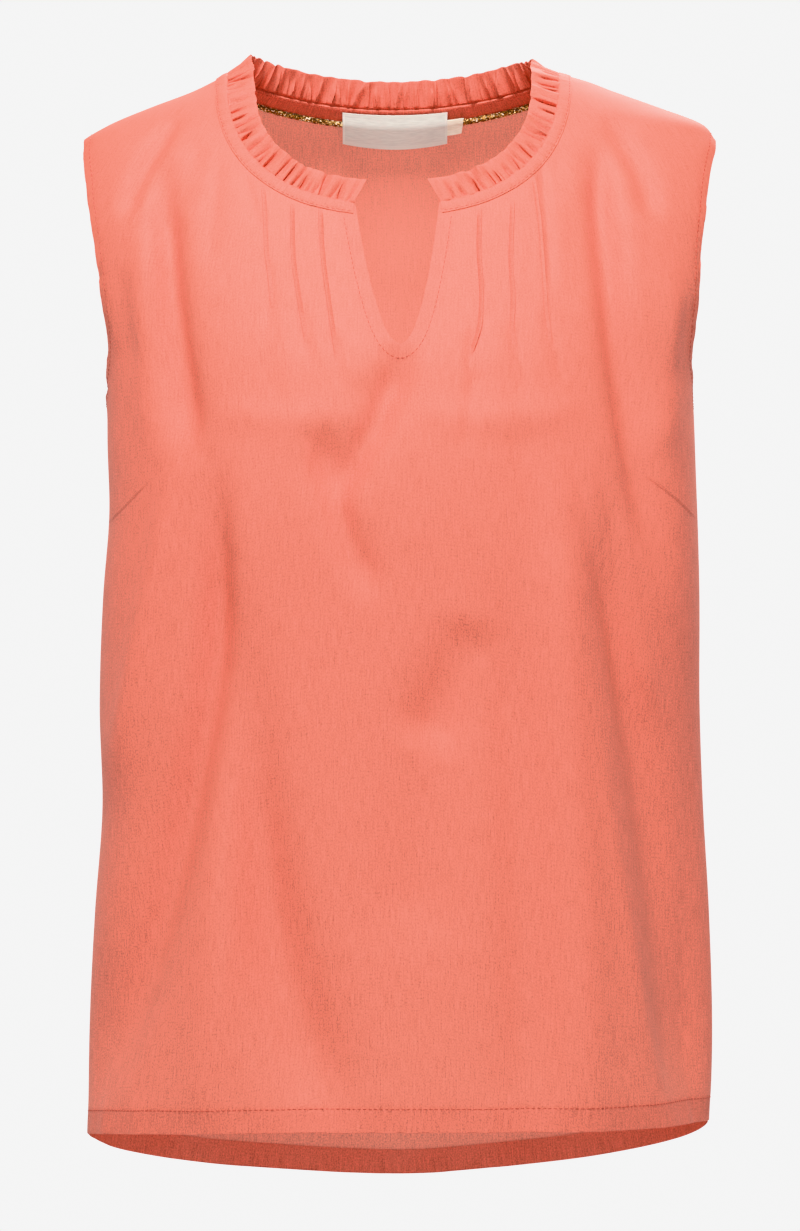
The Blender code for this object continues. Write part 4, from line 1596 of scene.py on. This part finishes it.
@dataclass
class Topstitching:
    """Rows of machine stitches: each a short length of thread that dips into the cloth at both ends."""

    name: str
    cloth: WornCloth
    stitch: float = 2.3
    gap: float = 0.75
    radius: float = 0.19
    sides: int = 5
    parts: list[Mesh] = field(default_factory=list)
    ALONG: ClassVar[tuple[float, ...]] = (0.0, 0.22, 0.78, 1.0)  # shares of a stitch at which it has a ring
    LIFT: ClassVar[tuple[float, ...]] = (-0.14, 0.1, 0.1, -0.14)
    GIRTH: ClassVar[tuple[float, ...]] = (0.45, 1.0, 1.0, 0.45)

    def add(self, path: Array, normal: Array) -> None:
        """Sew along a path.

        Args:
            path: Places on the cloth's surface.
            normal: The way out of the cloth at each.
        """
        length = lengths_along(path)
        count = int(length[-1] / (self.stitch + self.gap))
        starts = (np.arange(count) + 0.15) * (length[-1] / count)
        along, lift = np.array(self.ALONG), np.array(self.LIFT)
        girth = np.array(self.GIRTH) * self.radius
        at = (starts[:, None] + along * self.stitch).ravel()
        centre = np.stack([np.interp(at, length, path[:, k]) for k in range(3)], axis=-1)
        up = unit(np.stack([np.interp(at, length, normal[:, k]) for k in range(3)], axis=-1))
        ahead = np.gradient(path, length, axis=0)
        ahead = unit(np.stack([np.interp(at, length, ahead[:, k]) for k in range(3)], axis=-1))
        across = unit(np.cross(ahead, up))
        centre = centre + up * np.tile(lift, count)[:, None]
        turn = 2 * np.pi * np.arange(self.sides) / self.sides
        ring = np.cos(turn)[None, :, None] * across[:, None] + np.sin(turn)[None, :, None] * up[:, None]
        places = centre[:, None] + ring * np.tile(girth, count)[:, None, None]
        index = np.arange(count * len(self.ALONG) * self.sides).reshape(count, len(self.ALONG), self.sides)
        beside = np.roll(index, -1, axis=2)
        quads = np.stack([index[:, :-1], beside[:, :-1], beside[:, 1:], index[:, 1:]], axis=-1).reshape(-1, 4)
        faces = quads[:, ::-1].tolist() + index[:, 0].tolist() + index[:, -1, ::-1].tolist()
        threads = np.stack([np.repeat(at, self.sides), np.tile(turn * self.radius, len(at))], axis=-1)
        self.parts.append(Mesh(places.reshape(-1, 3), faces, threads))

    def beside(self, line: FormLine, distance: float, lift: float = 0.0, margin: float = 1.0) -> None:
        """Sew on the cloth's outside, next to an edge.

        Args:
            line: The edge.
            distance: How far from it.
            lift: Height of what is sewn over the cloth.
            margin: What is left out at each end.
        """
        place, normal = line.beside(line.spaced(1.5, margin), distance)
        self.add(place + normal * (self.cloth.rise(place) + lift)[:, None], normal)

    def build(self, finishes: Finishes) -> bpy.types.Object:
        """Make all the stitches as one piece."""
        return make_piece(self.name, Mesh.joined(self.parts), finishes.thread)


# ---------------------------------------------------------------- the neck's finish
@dataclass
class NeckBand:
    """The bias strip sewn round the outside of the neck, softly rounded, with small wrinkles across it."""

    line: FormLine
    cloth: WornCloth
    width: float = 7.0
    step: float = 0.8
    stitch_at: float = 5.9
    wrinkle: float = 0.16
    profile: tuple[tuple[float, float], ...] = (
        (-0.5, 0.05), (-0.35, 0.6), (0.3, 0.85), (2.0, 0.98), (3.8, 0.95),
        (5.1, 0.85), (5.9, 0.6), (6.5, 0.72), (6.9, 0.62), (7.05, 0.05),
    )

    def build(self, finishes: Finishes) -> bpy.types.Object:
        """Make the band in place of its solid.

        Args:
            finishes: The materials.

        Returns:
            The piece.
        """
        at = self.line.spaced(self.step, 0.1)
        noise = SoftNoise(67)
        outer, inner = [], []
        for distance, height in self.profile:
            place, normal = self.line.beside(at, distance)
            rise = self.cloth.rise(place)
            waves = noise.at(at / 2.1 + distance * 0.12, distance / 9) * self.wrinkle
            inside = 0.2 < distance < self.width - 0.3
            outer.append(place + normal * (rise + height + waves * inside)[:, None])
            inner.append(place + normal * (rise - 0.1)[:, None])
        mesh = strip_wall(np.array(outer), np.array(inner))
        piece = make_piece("neck_band_cloth", mesh, finishes.cloth)
        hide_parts("neck_band")
        return piece


@dataclass
class GatheredFrill:
    """The frill that stands in the neck seam: folded cloth, gathered into uneven creases."""

    line: FormLine
    cloth: WornCloth
    pleats: int = 92
    fine_pleats: int = 60
    puff: float = 0.4
    edge_dip: float = 0.45
    stand_out: float = 0.9
    step: float = 0.33
    wall: float = 0.6
    clearance: float = 0.9
    tucked_in: float = 0.6  # how far the frill's foot reaches below the panel's edge
    tucked_out: float = 0.35
    end_lean: float = 5.0
    end_reach: float = 60.0
    calm_reach: float = 16.0
    heights: tuple[float, ...] = (0.0, 0.05, 0.12, 0.22, 0.34, 0.46, 0.58, 0.7, 0.81, 0.9, 0.96, 0.99, 1.0)
    # the least and the most of the large creases, then of the fine ones
    CREASE_DEPTHS: ClassVar[tuple[tuple[float, float], ...]] = ((1.5, 2.9), (0.5, 1.2))
    CREASE_HALVES: ClassVar[tuple[tuple[float, float], ...]] = ((0.45, 0.7), (0.35, 0.5))
    CREASE_REACHES: ClassVar[tuple[tuple[float, float], ...]] = ((0.6, 1.5), (0.3, 0.8))

    def creases(self) -> Array:
        """One row for each crease: place, depth, half-width, reach, slant and how far it tucks under.

        Returns:
            The rows.
        """
        random = np.random.default_rng(5)
        start, end = self.line.lengths[0], self.line.lengths[-1]
        spacing = (end - start) / self.pleats
        main = start + spacing * (np.arange(self.pleats) + 0.5 + random.uniform(-0.3, 0.3, self.pleats))
        fine = random.uniform(start + 8, end - 8, self.fine_pleats)
        place = np.concatenate([main, fine])
        deep, half, reach = (
            np.concatenate([random.uniform(*large, self.pleats), random.uniform(*small, self.fine_pleats)])
            for large, small in (self.CREASE_DEPTHS, self.CREASE_HALVES, self.CREASE_REACHES)
        )
        slant = random.normal(0, 1.5, len(place))
        under = random.choice((-0.8, 0.8), len(place)) * random.uniform(0.6, 1.1, len(place))
        calm = smooth_step(0.15 + np.minimum(place - start, end - place) / self.calm_reach)
        return np.stack([place, deep * calm, half, reach, slant, under], axis=-1)

    def relief(self, at: Array, t: float) -> tuple[Array, Array, Array]:
        """The gathered shape at one height: how far out, how far along, and how much lower its edge is.

        Args:
            at: Lengths along the seam.
            t: Share of the frill's height.

        Returns:
            Shifts outwards, along the seam, and the share of the crease that reaches this height.
        """
        out, along, dip = np.zeros(len(at)), np.zeros(len(at)), np.zeros(len(at))
        for crease_at, deep, half, reach, slant, under in self.creases():
            away = at - crease_at - slant * t
            near = np.flatnonzero(np.abs(away) < 7)
            fade = 1 - smooth_step(np.array((t - 0.35 * reach) / (0.65 * reach)))
            narrow = np.exp(-((np.abs(away[near]) / (half * (1 + 1.3 * t))) ** 1.7))
            wide = np.exp(-((away[near] / (2.0 + 0.8 * t)) ** 2))
            out[near] -= deep * (fade * narrow + self.puff * wide * (0.4 + 0.6 * fade))
            along[near] += under * deep * fade * narrow
            dip[near] += deep * wide * (0.3 + fade)
        return out, along, dip

    def build(self, finishes: Finishes) -> bpy.types.Object:
        """Make the frill in place of its solid.

        Args:
            finishes: The materials.

        Returns:
            The piece.
        """
        at = self.line.spaced(self.step)
        place, normal, aside = self.line.frame(at)
        start, end = at[0], at[-1]
        inward = -aside
        share = 1 - np.abs(at) / np.where(at < 0, -start, end)
        tall = through(FRILL_PLACES, "tall", share)
        lean = through(FRILL_PLACES, "lean", share)[:, None]
        up = unit(inward + lean * normal)
        out = unit(normal - lean * inward)
        along = unit(np.gradient(place, at, axis=0))
        noise = SoftNoise(71)
        from_start = smooth_step(1 - (at - start) / self.end_reach)
        from_end = smooth_step(1 - (end - at) / self.end_reach)
        calm = smooth_step(0.2 + np.minimum(at - start, end - at) / (2 * self.calm_reach))
        outer, inner = [], []
        for t in self.heights:
            shift, sideways, dip = self.relief(at, t)
            shift += (noise.at(at / 5.2, t) * 1.2 + noise.at(at / 2.4, 9 + t) * 0.35) * t * calm
            sideways += self.end_lean * (from_end - from_start) * t
            rise = tall * t - self.edge_dip * dip * t**3
            middle = place + inward * self.clearance + up * rise[:, None]
            middle = middle + out * (shift + self.stand_out)[:, None] + along * sideways[:, None]
            half_wall = self.wall / 2 * math.sqrt(max(1 - t**14, 0.06))
            outer.append(middle + out * half_wall)
            inner.append(middle - out * half_wall)
        tucked = place - inward * self.tucked_in + out * self.tucked_out
        outer.insert(0, tucked + out * self.wall / 4)
        inner.insert(0, tucked - out * self.wall / 4)
        mesh = strip_wall(np.array(outer), np.array(inner))
        piece = make_piece("neck_frill_cloth", mesh, finishes.cloth, sharp=80.0)
        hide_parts("neck_ruffle")
        return piece


@dataclass
class BackNeck:
    """What is sewn inside the back neck: the tape, the glitter cord along it, the label and the size tab."""

    line: FormLine
    cloth: WornCloth
    wall: float = 0.6
    tape_top: float = 0.6
    tape_foot: float = 9.7
    tape_depth: float = 1.0
    tape_wall: float = 0.8
    end_gap: float = 7.0
    cord_radius: float = 1.6
    cord_sides: int = 14
    label_span: tuple[float, float] = (-34.0, 28.0)
    label_drop: tuple[float, float] = (2.4, 22.6)
    tab_span: tuple[float, float] = (27.0, 36.5)
    tab_drop: tuple[float, float] = (7.5, 17.5)
    label_wall: float = 0.35
    sag: float = 1.6
    flecks: int = 2600
    fleck_half: tuple[float, float] = (0.2, 0.5)
    fleck_wall: float = 0.08
    tone_shares: tuple[float, ...] = (0.42, 0.3, 0.28)
    LONGEST_DROP: ClassVar[float] = 40.0
    DROP_SAMPLES: ClassVar[int] = 81
    LABEL_ROWS: ClassVar[int] = 26
    LABEL_COLUMNS: ClassVar[int] = 48

    def inside(self, at: Array, drop: float, depth: Array | float) -> tuple[Array, Array]:
        """Places inside the back: at lengths along the seam, a drop below it, a depth in from the cloth.

        Args:
            at: Lengths along the neck seam.
            drop: Distance below the seam.
            depth: Distance in from the cloth's outer face.

        Returns:
            The places, and the outward normals there.
        """
        place, normal = self.line.beside(at, drop)
        return place + normal * (self.cloth.rise(place) - depth)[:, None], normal

    def dropped(self, x: Array, drop: Array) -> Array:
        """Places on the form straight below the back neck seam.

        Args:
            x: Where they are across.
            drop: Distance down the cloth from the seam, at each.

        Returns:
            The places.
        """
        turn = np.arccos(np.clip(np.abs(x - NECK_CENTRE_X) / NECK_HALF_WIDTH, 0, 1))
        top = neck_place(Side.RIGHT, BACK, turn)[1]
        below = np.linspace(0, self.LONGEST_DROP, self.DROP_SAMPLES)
        lines = on_form(np.repeat(x[:, None], self.DROP_SAMPLES, axis=1), top[:, None] - below, BACK)
        steps = np.linalg.norm(np.diff(lines, axis=1), axis=-1)
        length = np.concatenate([np.zeros((len(x), 1)), steps.cumsum(axis=1)], axis=1)
        drops = np.broadcast_to(drop, x.shape)
        found = [np.interp(wanted, along, start - below) for wanted, along, start in zip(drops, length, top)]
        return on_form(x, np.array(found), BACK)

    @property
    def cord_drop(self) -> float:
        """How far below the seam the cord's middle lies."""
        return self.tape_foot + self.cord_radius - 0.2

    @property
    def cord_depth(self) -> float:
        """How far in from the cloth's outer face the cord's middle lies."""
        return self.wall + self.tape_depth + self.cord_radius - 0.2

    def along(self, step: float) -> Array:
        """Lengths of the tape and the cord, from shoulder to shoulder.

        Args:
            step: How far apart.

        Returns:
            The lengths.
        """
        quarter = (len(self.line.places) - 1) // 4
        first, last = self.line.lengths[quarter] + self.end_gap, self.line.lengths[3 * quarter] - self.end_gap
        return np.linspace(first, last, round((last - first) / step) + 1)

    def tape(self, finishes: Finishes) -> bpy.types.Object:
        """The strip that covers the neck seam, with a soft pucker.

        Args:
            finishes: The materials.

        Returns:
            The piece.
        """
        at, noise = self.along(1.2), SoftNoise(83)
        outer, inner = [], []
        for drop in np.linspace(self.tape_top, self.tape_foot, 8):
            depth = self.wall + self.tape_depth + 0.2 * noise.at(at / 6, drop / 12)
            edge = 0.35 if drop in (self.tape_top, self.tape_foot) else 0.0
            outer.append(self.inside(at, float(drop), depth - self.tape_depth + 0.2)[0])
            inner.append(self.inside(at, float(drop), depth + self.tape_wall - edge)[0])
        mesh = strip_wall(np.array(outer), np.array(inner))
        piece = make_piece("back_neck_tape_cloth", mesh, finishes.cloth)
        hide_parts("back_neck_tape")
        return piece

    def cord(self, finishes: Finishes) -> tuple[bpy.types.Object, bpy.types.Object]:
        """The glitter cord: a lumpy twisted core, and flecks of film on it.

        Args:
            finishes: The materials.

        Returns:
            The core and its flecks.
        """
        at = self.along(0.5)
        middle, normal = self.inside(at, self.cord_drop, self.cord_depth)
        along = unit(np.gradient(middle, axis=0))
        down = unit(np.cross(along, normal))
        turn = 2 * np.pi * np.arange(self.cord_sides) / self.cord_sides
        lump = SoftNoise(89)
        size = self.cord_radius * (1 + 0.1 * lump.at(at[:, None] / 0.9, 3 * turn[None] / np.pi))
        size *= 1 + 0.07 * np.cos(2 * (turn[None] - at[:, None] / 1.6))
        ring = np.cos(turn)[None, :, None] * normal[:, None] + np.sin(turn)[None, :, None] * down[:, None]
        places = middle[:, None] + ring * size[..., None]
        index = np.arange(len(at) * self.cord_sides).reshape(-1, self.cord_sides)
        around = np.roll(index, -1, axis=1)
        quads = np.stack([index[:-1], around[:-1], around[1:], index[1:]], axis=-1).reshape(-1, 4)
        faces = quads.tolist() + [index[0, ::-1].tolist(), index[-1].tolist()]
        threads = np.stack(np.broadcast_arrays(at[:, None], turn * self.cord_radius), axis=-1).reshape(-1, 2)
        mesh = Mesh(places.reshape(-1, 3), faces, threads)
        core = make_piece("glitter_cord_core", mesh, finishes.cord)
        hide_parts("neck_piping")
        random = np.random.default_rng(97)
        count = self.flecks
        where = random.uniform(at[2], at[-3], count)
        angle = random.uniform(0, 2 * np.pi, count)
        tone = random.choice(len(self.tone_shares), count, p=self.tone_shares)
        centre, out = self.inside(where, self.cord_drop, self.cord_depth)
        ahead = unit(np.stack([np.interp(where, at, along[:, k]) for k in range(3)], axis=-1))
        below = unit(np.cross(ahead, out))
        face_out = np.cos(angle)[:, None] * out + np.sin(angle)[:, None] * below
        tilted = unit(face_out + random.normal(0, 0.35, (count, 3)))
        first = unit(np.cross(tilted, ahead + random.normal(0, 0.5, (count, 3))))
        second = np.cross(tilted, first)
        centre = centre + face_out * (self.cord_radius * 1.05)
        half = random.uniform(*self.fleck_half, (count, 2))
        corners = [
            centre + (sign_a * half[:, :1]) * first + (sign_b * half[:, 1:]) * second
            for sign_a, sign_b in ((-1, -1), (1, -1), (1, 1), (-1, 1))
        ]
        points = np.stack(corners, axis=1)
        plates = np.concatenate([points, points - tilted[:, None] * self.fleck_wall], axis=1).reshape(-1, 3)
        cell = np.array([(0, 1, 2, 3), (7, 6, 5, 4), (0, 4, 5, 1), (1, 5, 6, 2), (2, 6, 7, 3), (3, 7, 4, 0)])
        boxes = (np.arange(count)[:, None, None] * 8 + cell).reshape(-1, 4)
        flecks = Mesh(plates, boxes.tolist(), np.repeat(np.stack([where, angle], axis=-1), 8, axis=0))
        glitter = make_piece("glitter_cord_film", flecks, finishes.films[0], sharp=20.0)
        for film in finishes.films[1:]:
            glitter.data.materials.append(film)
        glitter.data.polygons.foreach_set("material_index", np.repeat(tone, 6).astype(np.int32))
        return core, glitter

    def hanging(
        self,
        name: str,
        node: str,
        span: tuple[float, float],
        drop: tuple[float, float],
        slant: float,
        back: float,
        material: bpy.types.Material,
        slot: str,
    ) -> bpy.types.Object:
        """A label that is sewn at its top, bulges over the cord and hangs free below it.

        Args:
            name: The piece's name.
            node: The solid that it replaces.
            span: Where it starts and ends along the seam.
            drop: Its top and foot below the seam.
            slant: How much its right end leans outwards towards the top.
            back: How much nearer to the cloth it lies than a label.
            material: Its finish.
            slot: Not used.

        Returns:
            The piece.
        """
        over_tape = self.wall + self.tape_depth + self.tape_wall + 0.3
        over_cord = self.cord_depth + self.cord_radius + 0.3
        outer, inner = [], []
        noise = SoftNoise(101)
        for share in np.linspace(0, 1, self.LABEL_ROWS):
            below = drop[0] + (drop[1] - drop[0]) * share
            depth = over_tape + (over_cord - over_tape) * smooth_step(np.array(below / self.cord_drop)) - back
            across = np.linspace(0, 1, self.LABEL_COLUMNS)
            x = span[0] + (span[1] - span[0]) * across + slant * (1 - share) * across
            bow = 0.3 * noise.at(x / 16, below / 11) * share
            sag = self.sag * share * np.sin(np.pi * across) * (span[1] - span[0]) / 60
            place = self.dropped(x, below + sag)
            normal = outward(place)
            outside = place + normal * (self.cloth.rise(place) - depth - bow)[:, None]
            outer.append(outside)
            inner.append(outside - normal * self.label_wall)
        mesh = strip_wall(np.array(outer)[:, ::-1], np.array(inner)[:, ::-1])
        piece = make_piece(name, mesh, material)
        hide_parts(node)
        return piece


# ---------------------------------------------------------------- the studio
@dataclass
class Studio:
    """A pale floor, soft light from above, the front and behind, and the camera of the picture."""

    camera_distance: float = 3.0
    camera_height: float = -0.3114
    lens: float = 152.5
    sensor: float = 36.0
    floor_height: float = -1.35
    floor_radius: float = 4.2
    background: str = "#F5F5F5"
    wall_height: float = 0.125  # sine of the elevation up to which the wall is bright
    wall_light: float = 1.338  # what the wall needs to come out in its own colour
    room_light: float = 0.05
    wall_ramp: float = 0.03
    floor_corners: int = 96
    floor_colour: str = "#CFCDCA"
    floor_fades_from: float = 0.5  # share of the floor's radius
    neck_beam: float = 11.5  # degrees
    neck_lamp_radius: float = 0.25
    CHEST: ClassVar[tuple[float, float, float]] = (0.0, 0.0, -0.28)
    NECK: ClassVar[tuple[float, float, float]] = (0.0, 0.0, -0.05)

    def place_lamp(
        self, data: bpy.types.Light, place: tuple[float, float, float], target: tuple[float, float, float]
    ) -> None:
        """Stand a lamp at its place and turn it to its target.

        Args:
            data: The lamp's data.
            place: Where it stands.
            target: What it faces.
        """
        lamp = bpy.data.objects.new(data.name, data)
        lamp.location = place
        aim = np.array(target) - np.array(place)
        lamp.rotation_euler = Vector(aim).to_track_quat("-Z", "Y").to_euler()
        bpy.context.scene.collection.objects.link(lamp)

    def light(
        self, name: str, place: tuple[float, float, float], size: float, watts: float, colour: str
    ) -> None:
        """One square softbox that faces the blouse's chest.

        Args:
            name: The softbox's name.
            place: Where it stands.
            size: Length of its side.
            watts: Its power.
            colour: Its hex colour.
        """
        data = bpy.data.lights.new(name, "AREA")
        data.size = size
        data.energy = watts
        data.color = linear(colour)[:3]
        self.place_lamp(data, place, self.CHEST)

    def neck_light(self, place: tuple[float, float, float], watts: float) -> None:
        """A soft, narrow light from below the camera, which reaches into the neck and over the chest.

        Args:
            place: Where it stands.
            watts: Its power.
        """
        data = bpy.data.lights.new("neck_spotlight", "SPOT")
        data.energy = watts
        data.spot_size = math.radians(self.neck_beam)
        data.spot_blend = 1.0
        data.shadow_soft_size = self.neck_lamp_radius
        self.place_lamp(data, place, self.NECK)

    def floor(self) -> None:
        """A round paper floor whose rim fades into the background."""
        turn = np.linspace(0, 2 * np.pi, self.floor_corners, endpoint=False)
        rim = np.stack([np.cos(turn), np.sin(turn), np.zeros_like(turn)], axis=-1) * self.floor_radius
        rim[:, 2] = self.floor_height
        data = bpy.data.meshes.new("paper_floor")
        data.from_pydata(rim.tolist(), [], [list(range(self.floor_corners))])
        material = bpy.data.materials.new("pale_backdrop_paper")
        material.use_nodes = True
        tree = material.node_tree
        shader = tree.nodes["Principled BSDF"]
        shader.inputs["Base Color"].default_value = linear(self.floor_colour)
        shader.inputs["Roughness"].default_value = 0.9
        where = add_node(tree, "ShaderNodeNewGeometry").outputs["Position"]
        away = add_node(tree, "ShaderNodeVectorMath", {"operation": "LENGTH"}, {0: where}).outputs["Value"]
        settings = {1: self.floor_radius * self.floor_fades_from, 2: self.floor_radius, 3: 1.0, 4: 0.0}
        fade = add_node(tree, "ShaderNodeMapRange", settings, {0: away}).outputs[0]
        tree.links.new(fade, shader.inputs["Alpha"])
        data.materials.append(material)
        floor = bpy.data.objects.new("paper_floor", data)
        bpy.context.scene.collection.objects.link(floor)

    def surroundings(self) -> None:
        """A bright paper wall and ground all round, and a dimmer room above them."""
        world = bpy.data.worlds.new("pale_studio")
        world.use_nodes = True
        tree = world.node_tree
        way = add_node(tree, "ShaderNodeTexCoord").outputs["Generated"]
        height = add_node(tree, "ShaderNodeSeparateXYZ", links={0: way}).outputs["Z"]
        top = self.wall_height + self.wall_ramp
        settings = {1: self.wall_height, 2: top, 3: self.wall_light, 4: self.room_light}
        share = add_node(tree, "ShaderNodeMapRange", settings, {0: height}).outputs[0]
        back = tree.nodes["Background"]
        back.inputs["Color"].default_value = linear(self.background)
        tree.links.new(share, back.inputs["Strength"])
        bpy.context.scene.world = world

    def build(self) -> None:
        """Make the floor, the lights, the background and the camera."""
        scene = bpy.context.scene
        scene.view_settings.view_transform = "Khronos PBR Neutral"
        self.surroundings()
        self.light("key_softbox", (-0.16, -1.6, 2.05), 0.8, 150.0, "#FFF9F4")
        self.light("front_softbox", (0.2, -3.0, 0.5), 0.9, 6.0, "#FFFBF8")
        self.light("back_softbox", (0.5, 1.9, 1.7), 1.6, 130.0, "#FFFBF8")
        self.neck_light((0.0, -2.6, -0.7), 50.0)
        self.floor()
        data = bpy.data.cameras.new("camera")
        data.lens = self.lens
        data.sensor_width = self.sensor
        camera = bpy.data.objects.new("camera", data)
        camera.location = (0, -self.camera_distance, self.camera_height)
        camera.rotation_euler = (math.pi / 2, 0, 0)
        scene.collection.objects.link(camera)
        scene.camera = camera


# ---------------------------------------------------------------- the blouse
def dress(finishes: Finishes) -> None:
    """Build every piece of the blouse.

    Args:
        finishes: The materials.
    """
    cloth = WornCloth(LARGE_FOLDS + SMALL_FOLDS)
    neck, notch = neck_line(), notch_line()
    front = Panel("front_panel", FRONT, cloth).build(finishes)
    back = Panel("back_panel", BACK, cloth).build(finishes)
    tucks = PinTucks("front_pin_tucks", TUCK_LINES, cloth).build(finishes)
    darts = PinTucks("bust_darts", DARTS, cloth, slope=1.6, step=0.25).build(finishes)
    front_parts, back_parts = [tucks, darts], []
    front_parts.append(InsideStrip("front_hem_turning", hem_line(FRONT), cloth, HEM_TURNING).build(finishes))
    back_parts.append(InsideStrip("back_hem_turning", hem_line(BACK), cloth, HEM_TURNING).build(finishes))
    notch_facing = InsideStrip("notch_facing", notch, cloth, NOTCH_FACING_WIDTH, margin=2.0)
    front_parts.append(notch_facing.build(finishes))
    for side in Side:
        name = side_name(side)
        facing = InsideStrip(f"{name}_armhole_facing", armhole_line(side), cloth, FACING_WIDTH, step=2.0)
        back_parts.append(facing.build(finishes))
        seam = side_seam_line(side)
        allowance = InsideStrip(f"{name}_seam_allowance", seam, cloth, ALLOWANCE_WIDTH)
        allowance.wrapped = False
        allowance.margin = ALLOWANCE_MARGIN
        back_parts.append(allowance.build(finishes))
    band = NeckBand(neck, cloth)
    band_piece = band.build(finishes)
    frill = GatheredFrill(neck, cloth).build(finishes)
    inside = BackNeck(neck, cloth)
    tape = inside.tape(finishes)
    inside.cord(finishes)
    place = (inside.label_span, inside.label_drop, 0.0, -0.5)
    label = inside.hanging("neck_label_satin", "neck_label", *place, finishes.label, LABEL_SLOT)
    place = (inside.tab_span, inside.tab_drop, 1.2, 0.0)
    tab = inside.hanging("size_tab_tape", "size_tab", *place, finishes.tab, TAB_SLOT)
    sewing = Topstitching("cloth_topstitching", cloth)
    for side in Side:
        sewing.beside(armhole_line(side), ARMHOLE_STITCHES_AT)
    for face in Face:
        sewing.beside(hem_line(face), HEM_TURNING - 1.0)
    sewing.beside(notch, NOTCH_STITCHES_AT, margin=NOTCH_STITCHES_AT)
    sewing.beside(neck, band.stitch_at, lift=0.62)
    sewn_at = inside.along(1.5)
    tape_face = inside.wall + inside.tape_depth + inside.tape_wall
    foot, normal = inside.inside(sewn_at, TAPE_STITCHES_AT, tape_face)
    sewing.add(foot, -normal)
    stitches = sewing.build(finishes)


def main() -> None:
    """Build the finishes, the blouse and the studio."""
    logging.basicConfig(level=logging.INFO, format="%(name)s: %(message)s")
    dress(Finishes.made())
    Studio().build()
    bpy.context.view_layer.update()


if __name__ == "__main__":
    main()
